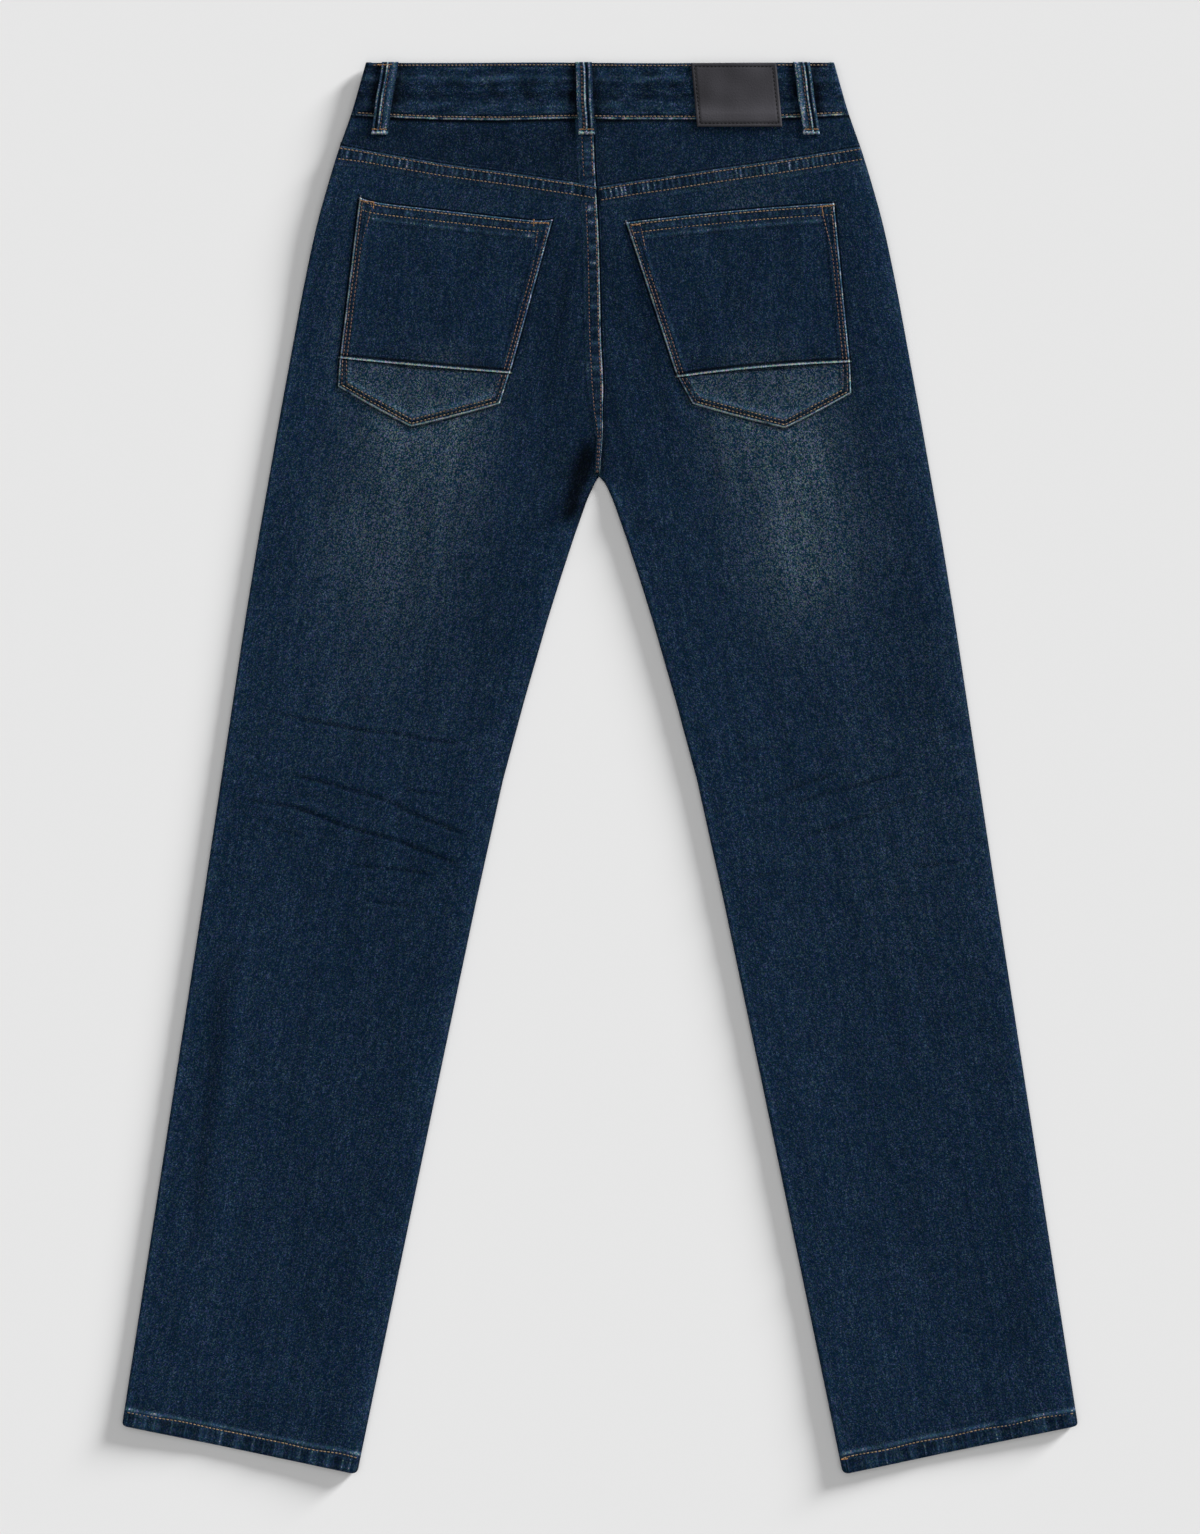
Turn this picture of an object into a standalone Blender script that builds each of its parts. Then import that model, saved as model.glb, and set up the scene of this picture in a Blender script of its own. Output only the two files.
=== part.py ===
"""Straight leg jeans, laid flat on their front with the back side up.

Metres, +Z up. X runs from the wearer's left (-X) to the right (+X), and Y from the hems to the waist.
The origin is under the middle of the whole garment, on the surface that it lies on.

Places on the garment are given as (half, drop): half is the distance from the centre line, and drop is the
distance below the back waist edge. side is -1 for the wearer's left and +1 for the right.
"""

import math
from collections import namedtuple

import bmesh
import bpy
import numpy as np

MM = 0.001

# Cloth and seams
WALL = 1.2 * MM
SEAM_GAP = 0.3 * MM
LENGTH = 1128 * MM
WAIST_Y = LENGTH / 2
CROTCH_DROP = 330.4 * MM
HEM_OUTER_DROP = 1090.4 * MM
HEM_INNER_DROP = LENGTH
HEM_TURN = 11.5 * MM
HEM_WALL = 2.0 * MM
HEM_STEP = 0.3 * MM
HEM_SOFT_START = 0.4 * MM
HEM_SOFT_END = 0.7 * MM

# Stack of the layers, seen from the end
EDGE_STACK = 5.0 * MM
EDGE_ROLL = 3.5 * MM
EDGE_PUFF_REACH = 22 * MM
LAYER_GAP = 0.3 * MM
POCKET_LAYERS = 1.5 * MM
HEM_LAYERS = 1.7 * MM
HEM_STACK = 0.8 * MM
WAIST_LIFT = 3.2 * MM

# Where the stack changes, as drops: the waist comes down to the surface, and the pocket layers and hems end
LIFT_DROPS = (80 * MM, 230 * MM)
POCKET_LAYER_DROPS = (140 * MM, 240 * MM)
HEM_LAYER_DROPS = (HEM_OUTER_DROP - 75 * MM, HEM_OUTER_DROP - 15 * MM)
INSEAM_START = 30 * MM

# Waistband, loops, patch and button
BAND_HEIGHT = 42.4 * MM
BAND_WALL = 2.6 * MM
BAND_UNDER = 2.5 * MM
BAND_TOP = 8.6 * MM
BAND_SIDE_RISE = 0.4 * MM
BAND_END = 12 * MM
FRONT_DIP = 30 * MM
BAND_ROWS = (0, 0.5, 1)
BAND_FRONT_COLUMNS = (0.25, 0.4, 0.55, 0.7, 0.85)
BAND_BACK_COLUMNS = (-0.9, -0.75, -0.5, -0.25, 0, 0.25, 0.5, 0.75, 0.9)
BAND_TURN_ANGLES = (-90, -60, -30, 0, 30, 60, 90)
LOOP_WIDTH = 13 * MM
LOOP_LENGTH = 55.4 * MM
LOOP_WALL = 1.4 * MM
LOOP_BULGE = 0.5 * MM
LOOP_TACK = 0.5 * MM
LOOP_EDGE = 0.4 * MM
PATCH_WALL = 1.2 * MM
STEP_RUN = 9 * MM
BUTTON_RADIUS = 8.5 * MM
BUTTON_HEIGHT = 2.2 * MM
BUTTON_BEVEL = 0.9 * MM
BUTTON_BACK_BEVEL = 0.4 * MM
BUTTON_SIDES = 32

# Pockets
POCKET_WALL = 1.2 * MM
TOE_WALL = 1.8 * MM
POCKET_HALF_COLUMNS = 4
POCKET_ROWS = 6
TOE_ROWS = 2
SCOOP_START = 118 * MM
SCOOP_END_DROP = 135 * MM
SCOOP_FLAT_ANGLE = 86
FACING_TUCK = 12 * MM

# A point of an edge or a seam, in mm: its drop below the waist, and its distance from the centre line there
Edge = namedtuple("Edge", "drop half")

# Side edge of the garment, half of its flat width
SIDE_EDGE = (
    Edge(0, 187.2),
    Edge(42.4, 198.8),
    Edge(68, 208.4),
    Edge(94.4, 216.4),
    Edge(126.4, 225.6),
    Edge(158.4, 232.8),
    Edge(190.4, 239.2),
    Edge(238.4, 248.0),
    Edge(286.4, 256.8),
    Edge(334.4, 265.2),
    Edge(382.4, 273.6),
    Edge(446.4, 284.0),
    Edge(670.4, 317.6),
    Edge(1090.4, 382.4),
)

# Inner edge of a leg below the crotch
INNER_EDGE = (
    Edge(330.4, 0.0),
    Edge(336, 4.0),
    Edge(342.4, 6.8),
    Edge(350.4, 10.4),
    Edge(382.4, 21.6),
    Edge(414.4, 32.0),
    Edge(446.4, 42.0),
    Edge(510.4, 60.4),
    Edge(574.4, 77.6),
    Edge(670.4, 98.8),
    Edge(830.4, 132.4),
    Edge(990.4, 165.6),
    Edge(1128, 194.0),
)

# Centre back seam, which wanders across the centre line, so half is its x
BACK_SEAM = (
    Edge(42.4, -7.2),
    Edge(60, -6.4),
    Edge(101.6, -2.4),
    Edge(142.4, -1.6),
    Edge(254.4, 1.6),
    Edge(286.4, 2.4),
    Edge(330.4, 0.0),
)

# Yoke seam: drop at the side seam and at the centre back seam
YOKE_SIDE_DROP = 68 * MM
YOKE_CENTRE_DROP = 98 * MM

# Rows of the panels: share of the way from their top edge to the crotch, and from there to the hem
YOKE_ROWS = (0, 0.5, 1)
BACK_SEAT_ROWS = (0, 0.1, 0.2, 0.3, 0.4, 0.5, 0.6, 0.72, 0.86, 1)
BACK_LEG_ROWS = (
    0.007, 0.03, 0.07, 0.12, 0.18, 0.235, 0.27, 0.29, 0.305, 0.32, 0.335, 0.35, 0.365, 0.38, 0.4,
    0.435, 0.5, 0.62, 0.76, 0.88, 0.94,
)
FRONT_SEAT_ROWS = (0, 0.12, 0.24, 0.37, 0.5, 0.66, 0.84, 1)
FRONT_LEG_ROWS = (0.007, 0.03, 0.07, 0.12, 0.2, 0.32, 0.45, 0.6, 0.76, 0.88, 0.94)
SCOOP_ROWS = 5

# Columns of the panels: angles of an edge roll, distances from either edge in mm, and shares of what is
# between. The edge distances shrink on a row narrower than NARROW_ROW times the last of them.
ROLL_ANGLES = (0, 40)
BACK_EDGE_COLUMNS = (3.5, 14, 27, 44)
BACK_MIDDLE_COLUMNS = (0.25, 0.5, 0.75)
FRONT_EDGE_COLUMNS = (3.5, 30)
FRONT_MIDDLE_COLUMNS = (0.33, 0.67)
NARROW_ROW = 2.5

# Fullness of the seat and of the back of the knee: middle (half, drop), reach along both, and height, in mm
SWELLS = (
    {"name": "seat", "half": 125, "drop": 250, "across": 70, "down": 110, "height": 2.2},
    {"name": "knee", "half": 188, "drop": 600, "across": 75, "down": 90, "height": 1.3},
)

# Largest folds behind the knees: from (half, drop) to (half, drop), depth and half width, in mm
FOLDS = (
    {"side": -1, "start": (252, 568), "end": (112, 617), "depth": 0.7, "reach": 9},
    {"side": -1, "start": (266, 594), "end": (120, 638), "depth": 0.8, "reach": 10},
    {"side": 1, "start": (150, 592), "end": (245, 570), "depth": 0.6, "reach": 10},
    {"side": 1, "start": (140, 640), "end": (250, 612), "depth": 0.5, "reach": 11},
)

# Corners of the back pockets: x and drop, in mm. outer is near the side seam, inner near the centre back seam
BACK_POCKETS = (
    {
        "name": "left",
        "outer_top": (-192.0, 108.8),
        "inner_top": (-38.4, 126.4),
        "outer_toe": (-208.0, 236.0),
        "inner_toe": (-72.8, 248.0),
        "outer_foot": (-209.6, 259.2),
        "inner_foot": (-80.8, 272.8),
        "point": (-151.2, 291.2),
    },
    {
        "name": "right",
        "outer_top": (188.0, 113.6),
        "inner_top": (20.8, 128.8),
        "outer_toe": (200.8, 239.2),
        "inner_toe": (62.4, 251.2),
        "outer_foot": (201.6, 264.0),
        "inner_foot": (74.4, 272.8),
        "point": (148.0, 292.0),
    },
)

# Belt loops: x of the middle at the top and at the bottom end, in mm
BACK_LOOPS = (
    {"name": "left", "top": -167.6, "bottom": -176.4},
    {"name": "centre", "top": -13.2, "bottom": -10.8},
    {"name": "right", "top": 160.8, "bottom": 168.8},
)
FRONT_LOOPS = (
    {"name": "left", "top": -98.0, "bottom": -101.0},
    {"name": "right", "top": 98.0, "bottom": 101.0},
)

# Rows of a loop as shares of its length, whose first and last two hold the tacked ends, and its columns
LOOP_ROWS = (0, 0.07, 0.12, 0.3, 0.55, 0.76, 0.86, 0.93, 1)
LOOP_COLUMNS = (-1.0, -0.8, 0.8, 1.0)

# Leather patch: x at the two sides, top and bottom, and drop of its edges, in mm
PATCH_TOP = (72.8, 140.8)
PATCH_BOTTOM = (77.6, 145.6)
PATCH_DROPS = (0.8, 18, 33, 42.8, 47, 52.4)
PATCH_COLUMNS = (0, 1 / 3, 2 / 3, 1)

SHARP_ANGLE = 40
DENIM = (0.014, 0.032, 0.066)
DENIM_WORN = (0.022, 0.046, 0.078)
LEATHER = (0.030, 0.030, 0.033)
BRASS = (0.30, 0.22, 0.12)


def between(table, drop):
    """Reads a table of edge points at a drop in metres."""
    drops = [row.drop for row in table]
    halves = [row.half for row in table]
    return float(np.interp(drop / MM, drops, halves)) * MM


def ease(start, end, value):
    """0 before start, 1 after end, and a soft step between them."""
    share = min(max((value - start) / (end - start), 0.0), 1.0)
    return share * share * (3 - 2 * share)


def bell(distance, reach):
    return math.exp(-((distance / reach) ** 2))


def mix(a, b, share):
    return a + (b - a) * share


def side_half(drop):
    return between(SIDE_EDGE, drop)


def inner_half(drop):
    return between(INNER_EDGE, drop)


def front_under(drop):
    """Underside of the front: on the surface, but lifted off it by the loops and the button at the waist."""
    return WAIST_LIFT * (1 - ease(*LIFT_DROPS, drop))


def hem_share(drop):
    return ease(*HEM_LAYER_DROPS, drop)


def layer_gap(drop):
    """Room between the front and the back: pocket layers at the top, and the turned hems at the bottom."""
    pockets = POCKET_LAYERS * (1 - ease(*POCKET_LAYER_DROPS, drop))
    return LAYER_GAP + pockets + HEM_LAYERS * hem_share(drop)


def fold_depth(side, half, drop):
    """How far the folds behind the knee press the back of the leg down."""
    point = np.array((half, drop))
    depth = 0.0
    for fold in FOLDS:
        if fold["side"] != side:
            continue
        start = np.array(fold["start"]) * MM
        along = np.array(fold["end"]) * MM - start
        share = min(max(float((point - start) @ along / (along @ along)), 0.0), 1.0)
        away = float(np.linalg.norm(point - start - share * along))
        depth += fold["depth"] * MM * bell(away, fold["reach"] * MM)
    return depth


def back_top(side, half, drop):
    """Outer face of the back panels: the stack of layers, fuller at the seams, the seat and the knees."""
    base = front_under(drop) + 2 * WALL + layer_gap(drop)
    from_side = side_half(drop) - half
    from_inseam = half - inner_half(drop)
    leg = ease(CROTCH_DROP, CROTCH_DROP + INSEAM_START, drop)
    stack = EDGE_STACK + HEM_STACK * hem_share(drop)
    puff = stack - 2 * WALL - layer_gap(drop)
    edge = bell(from_side, EDGE_PUFF_REACH) + leg * bell(from_inseam, EDGE_PUFF_REACH)
    inside = (1 - bell(from_side, EDGE_PUFF_REACH)) * (1 - leg * bell(from_inseam, EDGE_PUFF_REACH))
    swell = 0.0
    for place in SWELLS:
        across = bell(half - place["half"] * MM, place["across"] * MM)
        down = bell(drop - place["drop"] * MM, place["down"] * MM)
        swell += place["height"] * MM * across * down
    return base + puff * edge + inside * max(swell - fold_depth(side, half, drop), 0.0)


def front_dip(half):
    """How far the front of the waist lies below the back, at a distance from the centre line."""
    share = min(abs(half) / side_half(0), 1.0)
    return FRONT_DIP * math.cos(share * math.pi / 2) ** 2


def place(side, half, drop, height):
    return (side * half, WAIST_Y - drop, height)


def make_material(name, colour, roughness, metallic=0.0):
    material = bpy.data.materials.new(name)
    material.use_nodes = True
    shader = material.node_tree.nodes["Principled BSDF"]
    shader.inputs["Base Color"].default_value = (*colour, 1)
    shader.inputs["Roughness"].default_value = roughness
    shader.inputs["Metallic"].default_value = metallic
    material.diffuse_color = (*colour, 1)
    return material


def wall_object(name, skin, lining, colour, roughness=0.9):
    """One closed wall of cloth between two grids of points of the same shape, closed all round its rim."""
    rows = len(skin)
    columns = len(skin[0])
    bm = bmesh.new()
    layers = []
    for grid in (skin, lining):
        layers.append([[bm.verts.new(point) for point in row] for row in grid])
    for layer in layers:
        for r in range(rows - 1):
            for c in range(columns - 1):
                bm.faces.new((layer[r][c], layer[r][c + 1], layer[r + 1][c + 1], layer[r + 1][c]))
    rim = [(0, c) for c in range(columns)]
    rim += [(r, columns - 1) for r in range(1, rows)]
    rim += [(rows - 1, c) for c in range(columns - 2, -1, -1)]
    rim += [(r, 0) for r in range(rows - 2, 0, -1)]
    for (r0, c0), (r1, c1) in zip(rim, rim[1:] + rim[:1]):
        bm.faces.new((layers[0][r0][c0], layers[0][r1][c1], layers[1][r1][c1], layers[1][r0][c0]))
    bmesh.ops.recalc_face_normals(bm, faces=bm.faces)
    return finish_object(name, bm, make_material(name, colour, roughness))


def finish_object(name, bm, material):
    mesh = bpy.data.meshes.new(name)
    bm.to_mesh(mesh)
    bm.free()
    mesh.shade_smooth()
    mesh.set_sharp_from_angle(angle=math.radians(SHARP_ANGLE))
    mesh.materials.append(material)
    part = bpy.data.objects.new(name, mesh)
    bpy.context.scene.collection.objects.link(part)
    return part


def panel_columns(width, up):
    """Columns of a row: its inner edge roll, distances over the flat between, and its outer edge roll."""
    edges = BACK_EDGE_COLUMNS if up > 0 else FRONT_EDGE_COLUMNS
    shares = BACK_MIDDLE_COLUMNS if up > 0 else FRONT_MIDDLE_COLUMNS
    shrink = min(1.0, width / (NARROW_ROW * edges[-1] * MM))
    near = [edge * MM * shrink for edge in edges]
    near[0] = EDGE_ROLL
    middle = [mix(near[-1], width - near[-1], share) for share in shares]
    inner = [("inner", math.radians(angle)) for angle in ROLL_ANGLES]
    flat = [("flat", distance) for distance in near + middle + [width - edge for edge in reversed(near)]]
    outer = [("outer", math.radians(angle)) for angle in reversed(ROLL_ANGLES)]
    return inner + flat + outer


def panel_row(side, row, height, up):
    """Skin and lining points of one row of a panel.

    row gives the (half, drop) of its inner and outer ends, how far each end rolls to the seam (0 or 1), the
    wall and the step of the skin. height gives the flat skin, and up is +1 for the back and -1 for the front.
    """
    start = np.array(row["inner"])
    end = np.array(row["outer"])
    width = float(np.linalg.norm(end - start))
    along = (end - start) / width
    skin = []
    lining = []
    for kind, value in panel_columns(width, up):
        roll = 0.0
        rise = 1.0
        reach = 0.0
        tip = start
        if kind == "flat":
            distance = value
        else:
            rise = math.sin(value)
            reach = math.cos(value)
            roll = row["roll_" + kind]
            distance = EDGE_ROLL * (1 - reach)
            tip = start if kind == "inner" else end
        inward = row["wall"] * reach * roll
        if kind == "outer":
            skin_place = start + along * (width - distance)
            lining_place = start + along * (width - distance - inward)
        else:
            skin_place = start + along * distance
            lining_place = start + along * (distance + inward)
        flat = height(side, skin_place[0], skin_place[1]) + up * row["step"]
        seam = (back_top(side, tip[0], tip[1]) + front_under(tip[1])) / 2
        curl = roll * (abs(seam - flat) - SEAM_GAP / 2) * (1 - rise)
        top = flat - up * curl
        under = top - up * row["wall"] * (1 - roll + roll * rise)
        skin.append(place(side, skin_place[0], skin_place[1], top))
        lining.append(place(side, lining_place[0], lining_place[1], under))
    return skin, lining


def panel_object(name, side, rows, height, up, colour=DENIM):
    grids = [panel_row(side, row, height, up) for row in rows]
    return wall_object(name, [grid[0] for grid in grids], [grid[1] for grid in grids], colour)


def row_of(inner, outer, roll_inner, roll_outer, wall=WALL, step=0.0):
    return {
        "inner": inner,
        "outer": outer,
        "roll_inner": roll_inner,
        "roll_outer": roll_outer,
        "wall": wall,
        "step": step,
    }


def back_seam_half(side, drop):
    """Distance of the centre back seam from the centre line, on one side, with half of the seam gap."""
    return side * between(BACK_SEAM, drop) + SEAM_GAP / 2


def leg_row(share, wall=WALL, step=0.0):
    """A row across one leg at a share of the way from the crotch to the hem."""
    outer_drop = mix(CROTCH_DROP, HEM_OUTER_DROP, share)
    inner_drop = mix(CROTCH_DROP, HEM_INNER_DROP, share)
    inner = (inner_half(inner_drop), inner_drop)
    outer = (side_half(outer_drop), outer_drop)
    return row_of(inner, outer, 1.0, 1.0, wall, step)


def hem_rows(step):
    """The turned hem: a thicker wall over its last stretch that stands proud by step, with a softened end."""
    length = HEM_INNER_DROP - CROTCH_DROP
    rows = [leg_row(1 - (HEM_TURN + HEM_SOFT_START) / length)]
    rows.append(leg_row(1 - HEM_TURN / length, HEM_WALL, step))
    rows.append(leg_row(1 - HEM_SOFT_END / length, HEM_WALL, step))
    rows.append(leg_row(1, HEM_WALL - HEM_SOFT_END, 0.0))
    return rows


def back_panel(side, top_share, bottom_share, shares):
    """Rows of the back between two shares of the way from the band to the crotch along the yoke's slant."""
    rows = []
    for share in shares:
        outer_drop = mix(top_share[1], bottom_share[1], share)
        inner_drop = mix(top_share[0], bottom_share[0], share)
        inner = (back_seam_half(side, inner_drop), inner_drop)
        rows.append(row_of(inner, (side_half(outer_drop), outer_drop), 0.0, 1.0))
    return rows


def make_backs():
    for side, name in ((-1, "left"), (1, "right")):
        band_edge = (BAND_HEIGHT + SEAM_GAP, BAND_HEIGHT + SEAM_GAP)
        yoke_edge = (YOKE_CENTRE_DROP - SEAM_GAP / 2, YOKE_SIDE_DROP - SEAM_GAP / 2)
        leg_edge = (YOKE_CENTRE_DROP + SEAM_GAP / 2, YOKE_SIDE_DROP + SEAM_GAP / 2)
        crotch = (CROTCH_DROP, CROTCH_DROP)
        panel_object("yoke_" + name, side, back_panel(side, band_edge, yoke_edge, YOKE_ROWS), back_top, 1)
        rows = back_panel(side, leg_edge, crotch, BACK_SEAT_ROWS)
        rows += [leg_row(share) for share in BACK_LEG_ROWS] + hem_rows(HEM_STEP)
        panel_object("back_leg_" + name, side, rows, back_top, 1)


def front_height(side, half, drop):
    return front_under(drop)


def facing_height(side, half, drop):
    return front_under(drop) + WALL + SEAM_GAP


def front_top_drop(half):
    """Top edge of the front leg panel, just under the front waistband."""
    return BAND_HEIGHT + front_dip(half) + SEAM_GAP


def scoop_point(angle):
    """Edge of the front pocket opening: straight down at the waistband, and level at the side seam."""
    turn = math.radians(angle)
    start_drop = front_top_drop(SCOOP_START)
    half = mix(SCOOP_START, side_half(SCOOP_END_DROP), 1 - math.cos(turn))
    return half, mix(start_drop, SCOOP_END_DROP, math.sin(turn))


def scoop_angles():
    return [SCOOP_FLAT_ANGLE * step / SCOOP_ROWS for step in range(SCOOP_ROWS + 1)]


def raise_to_band(points, room):
    """Bends the first row of a grid up to the dipped lower edge of the front waistband."""
    return [(x, WAIST_Y - front_top_drop(abs(x)) - room, z) for x, y, z in points]


def make_fronts():
    seam = SEAM_GAP / 2
    for side, name in ((-1, "left"), (1, "right")):
        rows = []
        for angle in scoop_angles():
            half, drop = scoop_point(angle)
            inner_drop = mix(front_top_drop(0), SCOOP_END_DROP, math.sin(math.radians(angle)))
            rows.append(row_of((seam, inner_drop), (half, drop), 0.0, 0.0))
        for share in FRONT_SEAT_ROWS:
            drop = mix(SCOOP_END_DROP, CROTCH_DROP, share)
            rows.append(row_of((seam, drop), (side_half(drop), drop), 0.0, 1.0))
        rows += [leg_row(share) for share in FRONT_LEG_ROWS] + hem_rows(0.0)
        grids = [panel_row(side, row, front_height, -1) for row in rows]
        skin = [grid[0] for grid in grids]
        lining = [grid[1] for grid in grids]
        skin[0] = raise_to_band(skin[0], SEAM_GAP)
        lining[0] = raise_to_band(lining[0], SEAM_GAP)
        wall_object("front_leg_" + name, skin, lining, DENIM)


def make_facings():
    """The denim behind each front pocket opening, from the waistband down to the end of the scoop."""
    last_drop = scoop_point(SCOOP_FLAT_ANGLE)[1] - 2 * SEAM_GAP
    for side, name in ((-1, "left"), (1, "right")):
        rows = []
        for angle in scoop_angles():
            half, drop = scoop_point(angle)
            inner_drop = min(drop, last_drop)
            share = (inner_drop - front_top_drop(SCOOP_START)) / (last_drop - front_top_drop(SCOOP_START))
            outer_drop = mix(BAND_HEIGHT + 2 * SEAM_GAP, last_drop, share)
            outer = (side_half(outer_drop), outer_drop)
            rows.append(row_of((half - FACING_TUCK, inner_drop), outer, 0.0, 1.0))
        grids = [panel_row(side, row, facing_height, -1) for row in rows]
        skin = [grid[0] for grid in grids]
        lining = [grid[1] for grid in grids]
        skin[0] = raise_to_band(skin[0], 2 * SEAM_GAP)
        lining[0] = raise_to_band(lining[0], 2 * SEAM_GAP)
        wall_object("front_pocket_facing_" + name, skin, lining, DENIM)


def band_back_height(half):
    """Outer face of the back of the waistband."""
    away = max(side_half(BAND_HEIGHT / 2) - half, 0.0)
    return BAND_TOP + BAND_SIDE_RISE * bell(away, EDGE_PUFF_REACH)


def band_section(share_down):
    """Skin and lining points of the waistband along its whole length, at a share of its height.

    It runs from the buttonhole end at the centre front round the wearer's left side, over the back, round
    the right side and back to the centre front.
    """
    radius = (BAND_TOP + BAND_SIDE_RISE - BAND_UNDER) / 2
    middle = BAND_UNDER + radius
    base_drop = share_down * BAND_HEIGHT
    turn_half = side_half(base_drop) - radius
    skin = []
    lining = []

    def add(x, drop, height, normal_x, normal_z):
        skin.append((x, WAIST_Y - drop, height))
        lining.append((x - normal_x * BAND_WALL, WAIST_Y - drop, height - normal_z * BAND_WALL))

    end_share = BAND_END / turn_half
    for share in (-end_share, 0.0, BAND_FRONT_COLUMNS[0] / 2) + BAND_FRONT_COLUMNS:
        x = -share * turn_half
        add(x, base_drop + front_dip(x), BAND_UNDER, 0, -1)
    for angle in BAND_TURN_ANGLES:
        turn = math.radians(angle)
        away = turn_half + radius * math.cos(turn)
        add(-away, base_drop, middle + radius * math.sin(turn), -math.cos(turn), math.sin(turn))
    for share in BAND_BACK_COLUMNS:
        x = share * turn_half
        add(x, base_drop, band_back_height(abs(x)), 0, 1)
    for angle in reversed(BAND_TURN_ANGLES):
        turn = math.radians(angle)
        away = turn_half + radius * math.cos(turn)
        add(away, base_drop, middle + radius * math.sin(turn), math.cos(turn), math.sin(turn))
    for share in BAND_FRONT_COLUMNS[::-1] + (end_share + SEAM_GAP / turn_half,):
        x = share * turn_half
        add(x, base_drop + front_dip(x), BAND_UNDER, 0, -1)
    return skin, lining


def make_waistband():
    grids = [band_section(share) for share in BAND_ROWS]
    wall_object("waistband", [grid[0] for grid in grids], [grid[1] for grid in grids], DENIM_WORN)


def cover_top(side, half, drop):
    """What the loops and the patch lie on: the waistband, then a slope down to the yoke."""
    band = band_back_height(half)
    if drop <= BAND_HEIGHT + SEAM_GAP:
        return band
    yoke = back_top(side, half, drop)
    share = min((drop - BAND_HEIGHT) / STEP_RUN, 1.0)
    return max(mix(band, yoke, share), yoke)


def cover_under(side, half, drop):
    """The same under the front: the waistband's underside, then a slope up to the front leg."""
    edge = BAND_HEIGHT + front_dip(half)
    if drop <= edge + SEAM_GAP:
        return BAND_UNDER
    share = min((drop - edge) / STEP_RUN, 1.0)
    return mix(BAND_UNDER, front_under(drop), share)


def make_loop(name, loop, support, up, first_drop):
    """A belt loop: a folded strip that stands a little off the band between its two tacked ends."""
    skin = []
    lining = []
    for share in LOOP_ROWS:
        drop = first_drop + share * LOOP_LENGTH
        middle = mix(loop["top"], loop["bottom"], share) * MM
        end = 1 - ease(LOOP_ROWS[1], LOOP_ROWS[2], share) * (1 - ease(LOOP_ROWS[-3], LOOP_ROWS[-2], share))
        bulge = LOOP_BULGE * math.sin(math.pi * share)
        skin_row = []
        lining_row = []
        for step in LOOP_COLUMNS:
            x = middle + step * LOOP_WIDTH / 2
            base = support(1 if x > 0 else -1, abs(middle), drop) + up * (SEAM_GAP + bulge)
            thick = LOOP_WALL + LOOP_TACK * end - (LOOP_EDGE if abs(step) == 1 else 0)
            skin_row.append((x, WAIST_Y - drop, base + up * thick))
            lining_row.append((x, WAIST_Y - drop, base))
        skin.append(skin_row)
        lining.append(lining_row)
    return wall_object(name, skin, lining, DENIM_WORN)


def make_loops():
    for loop in BACK_LOOPS:
        make_loop("belt_loop_back_" + loop["name"], loop, cover_top, 1, 0.0)
    for loop in FRONT_LOOPS:
        first_drop = front_dip(loop["top"] * MM)
        make_loop("belt_loop_front_" + loop["name"], loop, cover_under, -1, first_drop)


def make_patch():
    """The leather patch, from the top of the waistband down over its edge to the yoke."""
    skin = []
    lining = []
    first = PATCH_DROPS[0]
    for drop in PATCH_DROPS:
        share = (drop - first) / (PATCH_DROPS[-1] - first)
        left = mix(PATCH_TOP[0], PATCH_BOTTOM[0], share) * MM
        right = mix(PATCH_TOP[1], PATCH_BOTTOM[1], share) * MM
        skin_row = []
        lining_row = []
        for step in PATCH_COLUMNS:
            x = mix(left, right, step)
            base = cover_top(1, x, drop * MM) + SEAM_GAP
            lining_row.append((x, WAIST_Y - drop * MM, base))
            skin_row.append((x, WAIST_Y - drop * MM, base + PATCH_WALL))
        skin.append(skin_row)
        lining.append(lining_row)
    return wall_object("leather_patch", skin, lining, LEATHER, 0.55)


def lying_piece(name, top_edge, bottom_edge, rows, wall, colour):
    """A piece sewn flat on the back panel, between two edges given as rows of (x, drop) in mm."""
    skin = []
    lining = []
    for step in range(rows + 1):
        skin_row = []
        lining_row = []
        for top, bottom in zip(top_edge, bottom_edge):
            x = mix(top[0], bottom[0], step / rows) * MM
            drop = mix(top[1], bottom[1], step / rows) * MM
            base = back_top(1 if x > 0 else -1, abs(x), drop) + SEAM_GAP
            lining_row.append((x, WAIST_Y - drop, base))
            skin_row.append((x, WAIST_Y - drop, base + wall))
        skin.append(skin_row)
        lining.append(lining_row)
    return wall_object(name, skin, lining, colour)


def edge_between(start, end, count):
    return [(mix(start[0], end[0], n / count), mix(start[1], end[1], n / count)) for n in range(count + 1)]


def make_back_pockets():
    """Each back pocket and the pointed toe below it, which meet at the toe seam."""
    for pocket in BACK_POCKETS:
        opening = edge_between(pocket["outer_top"], pocket["inner_top"], 2 * POCKET_HALF_COLUMNS)
        toe_seam = edge_between(pocket["outer_toe"], pocket["inner_toe"], 2 * POCKET_HALF_COLUMNS)
        foot = edge_between(pocket["outer_foot"], pocket["point"], POCKET_HALF_COLUMNS)
        foot += edge_between(pocket["point"], pocket["inner_foot"], POCKET_HALF_COLUMNS)[1:]
        below = [(x, drop + SEAM_GAP / MM) for x, drop in toe_seam]
        lying_piece("back_pocket_" + pocket["name"], opening, toe_seam, POCKET_ROWS, POCKET_WALL, DENIM)
        lying_piece("pocket_toe_" + pocket["name"], below, foot, TOE_ROWS, TOE_WALL, DENIM_WORN)


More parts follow.
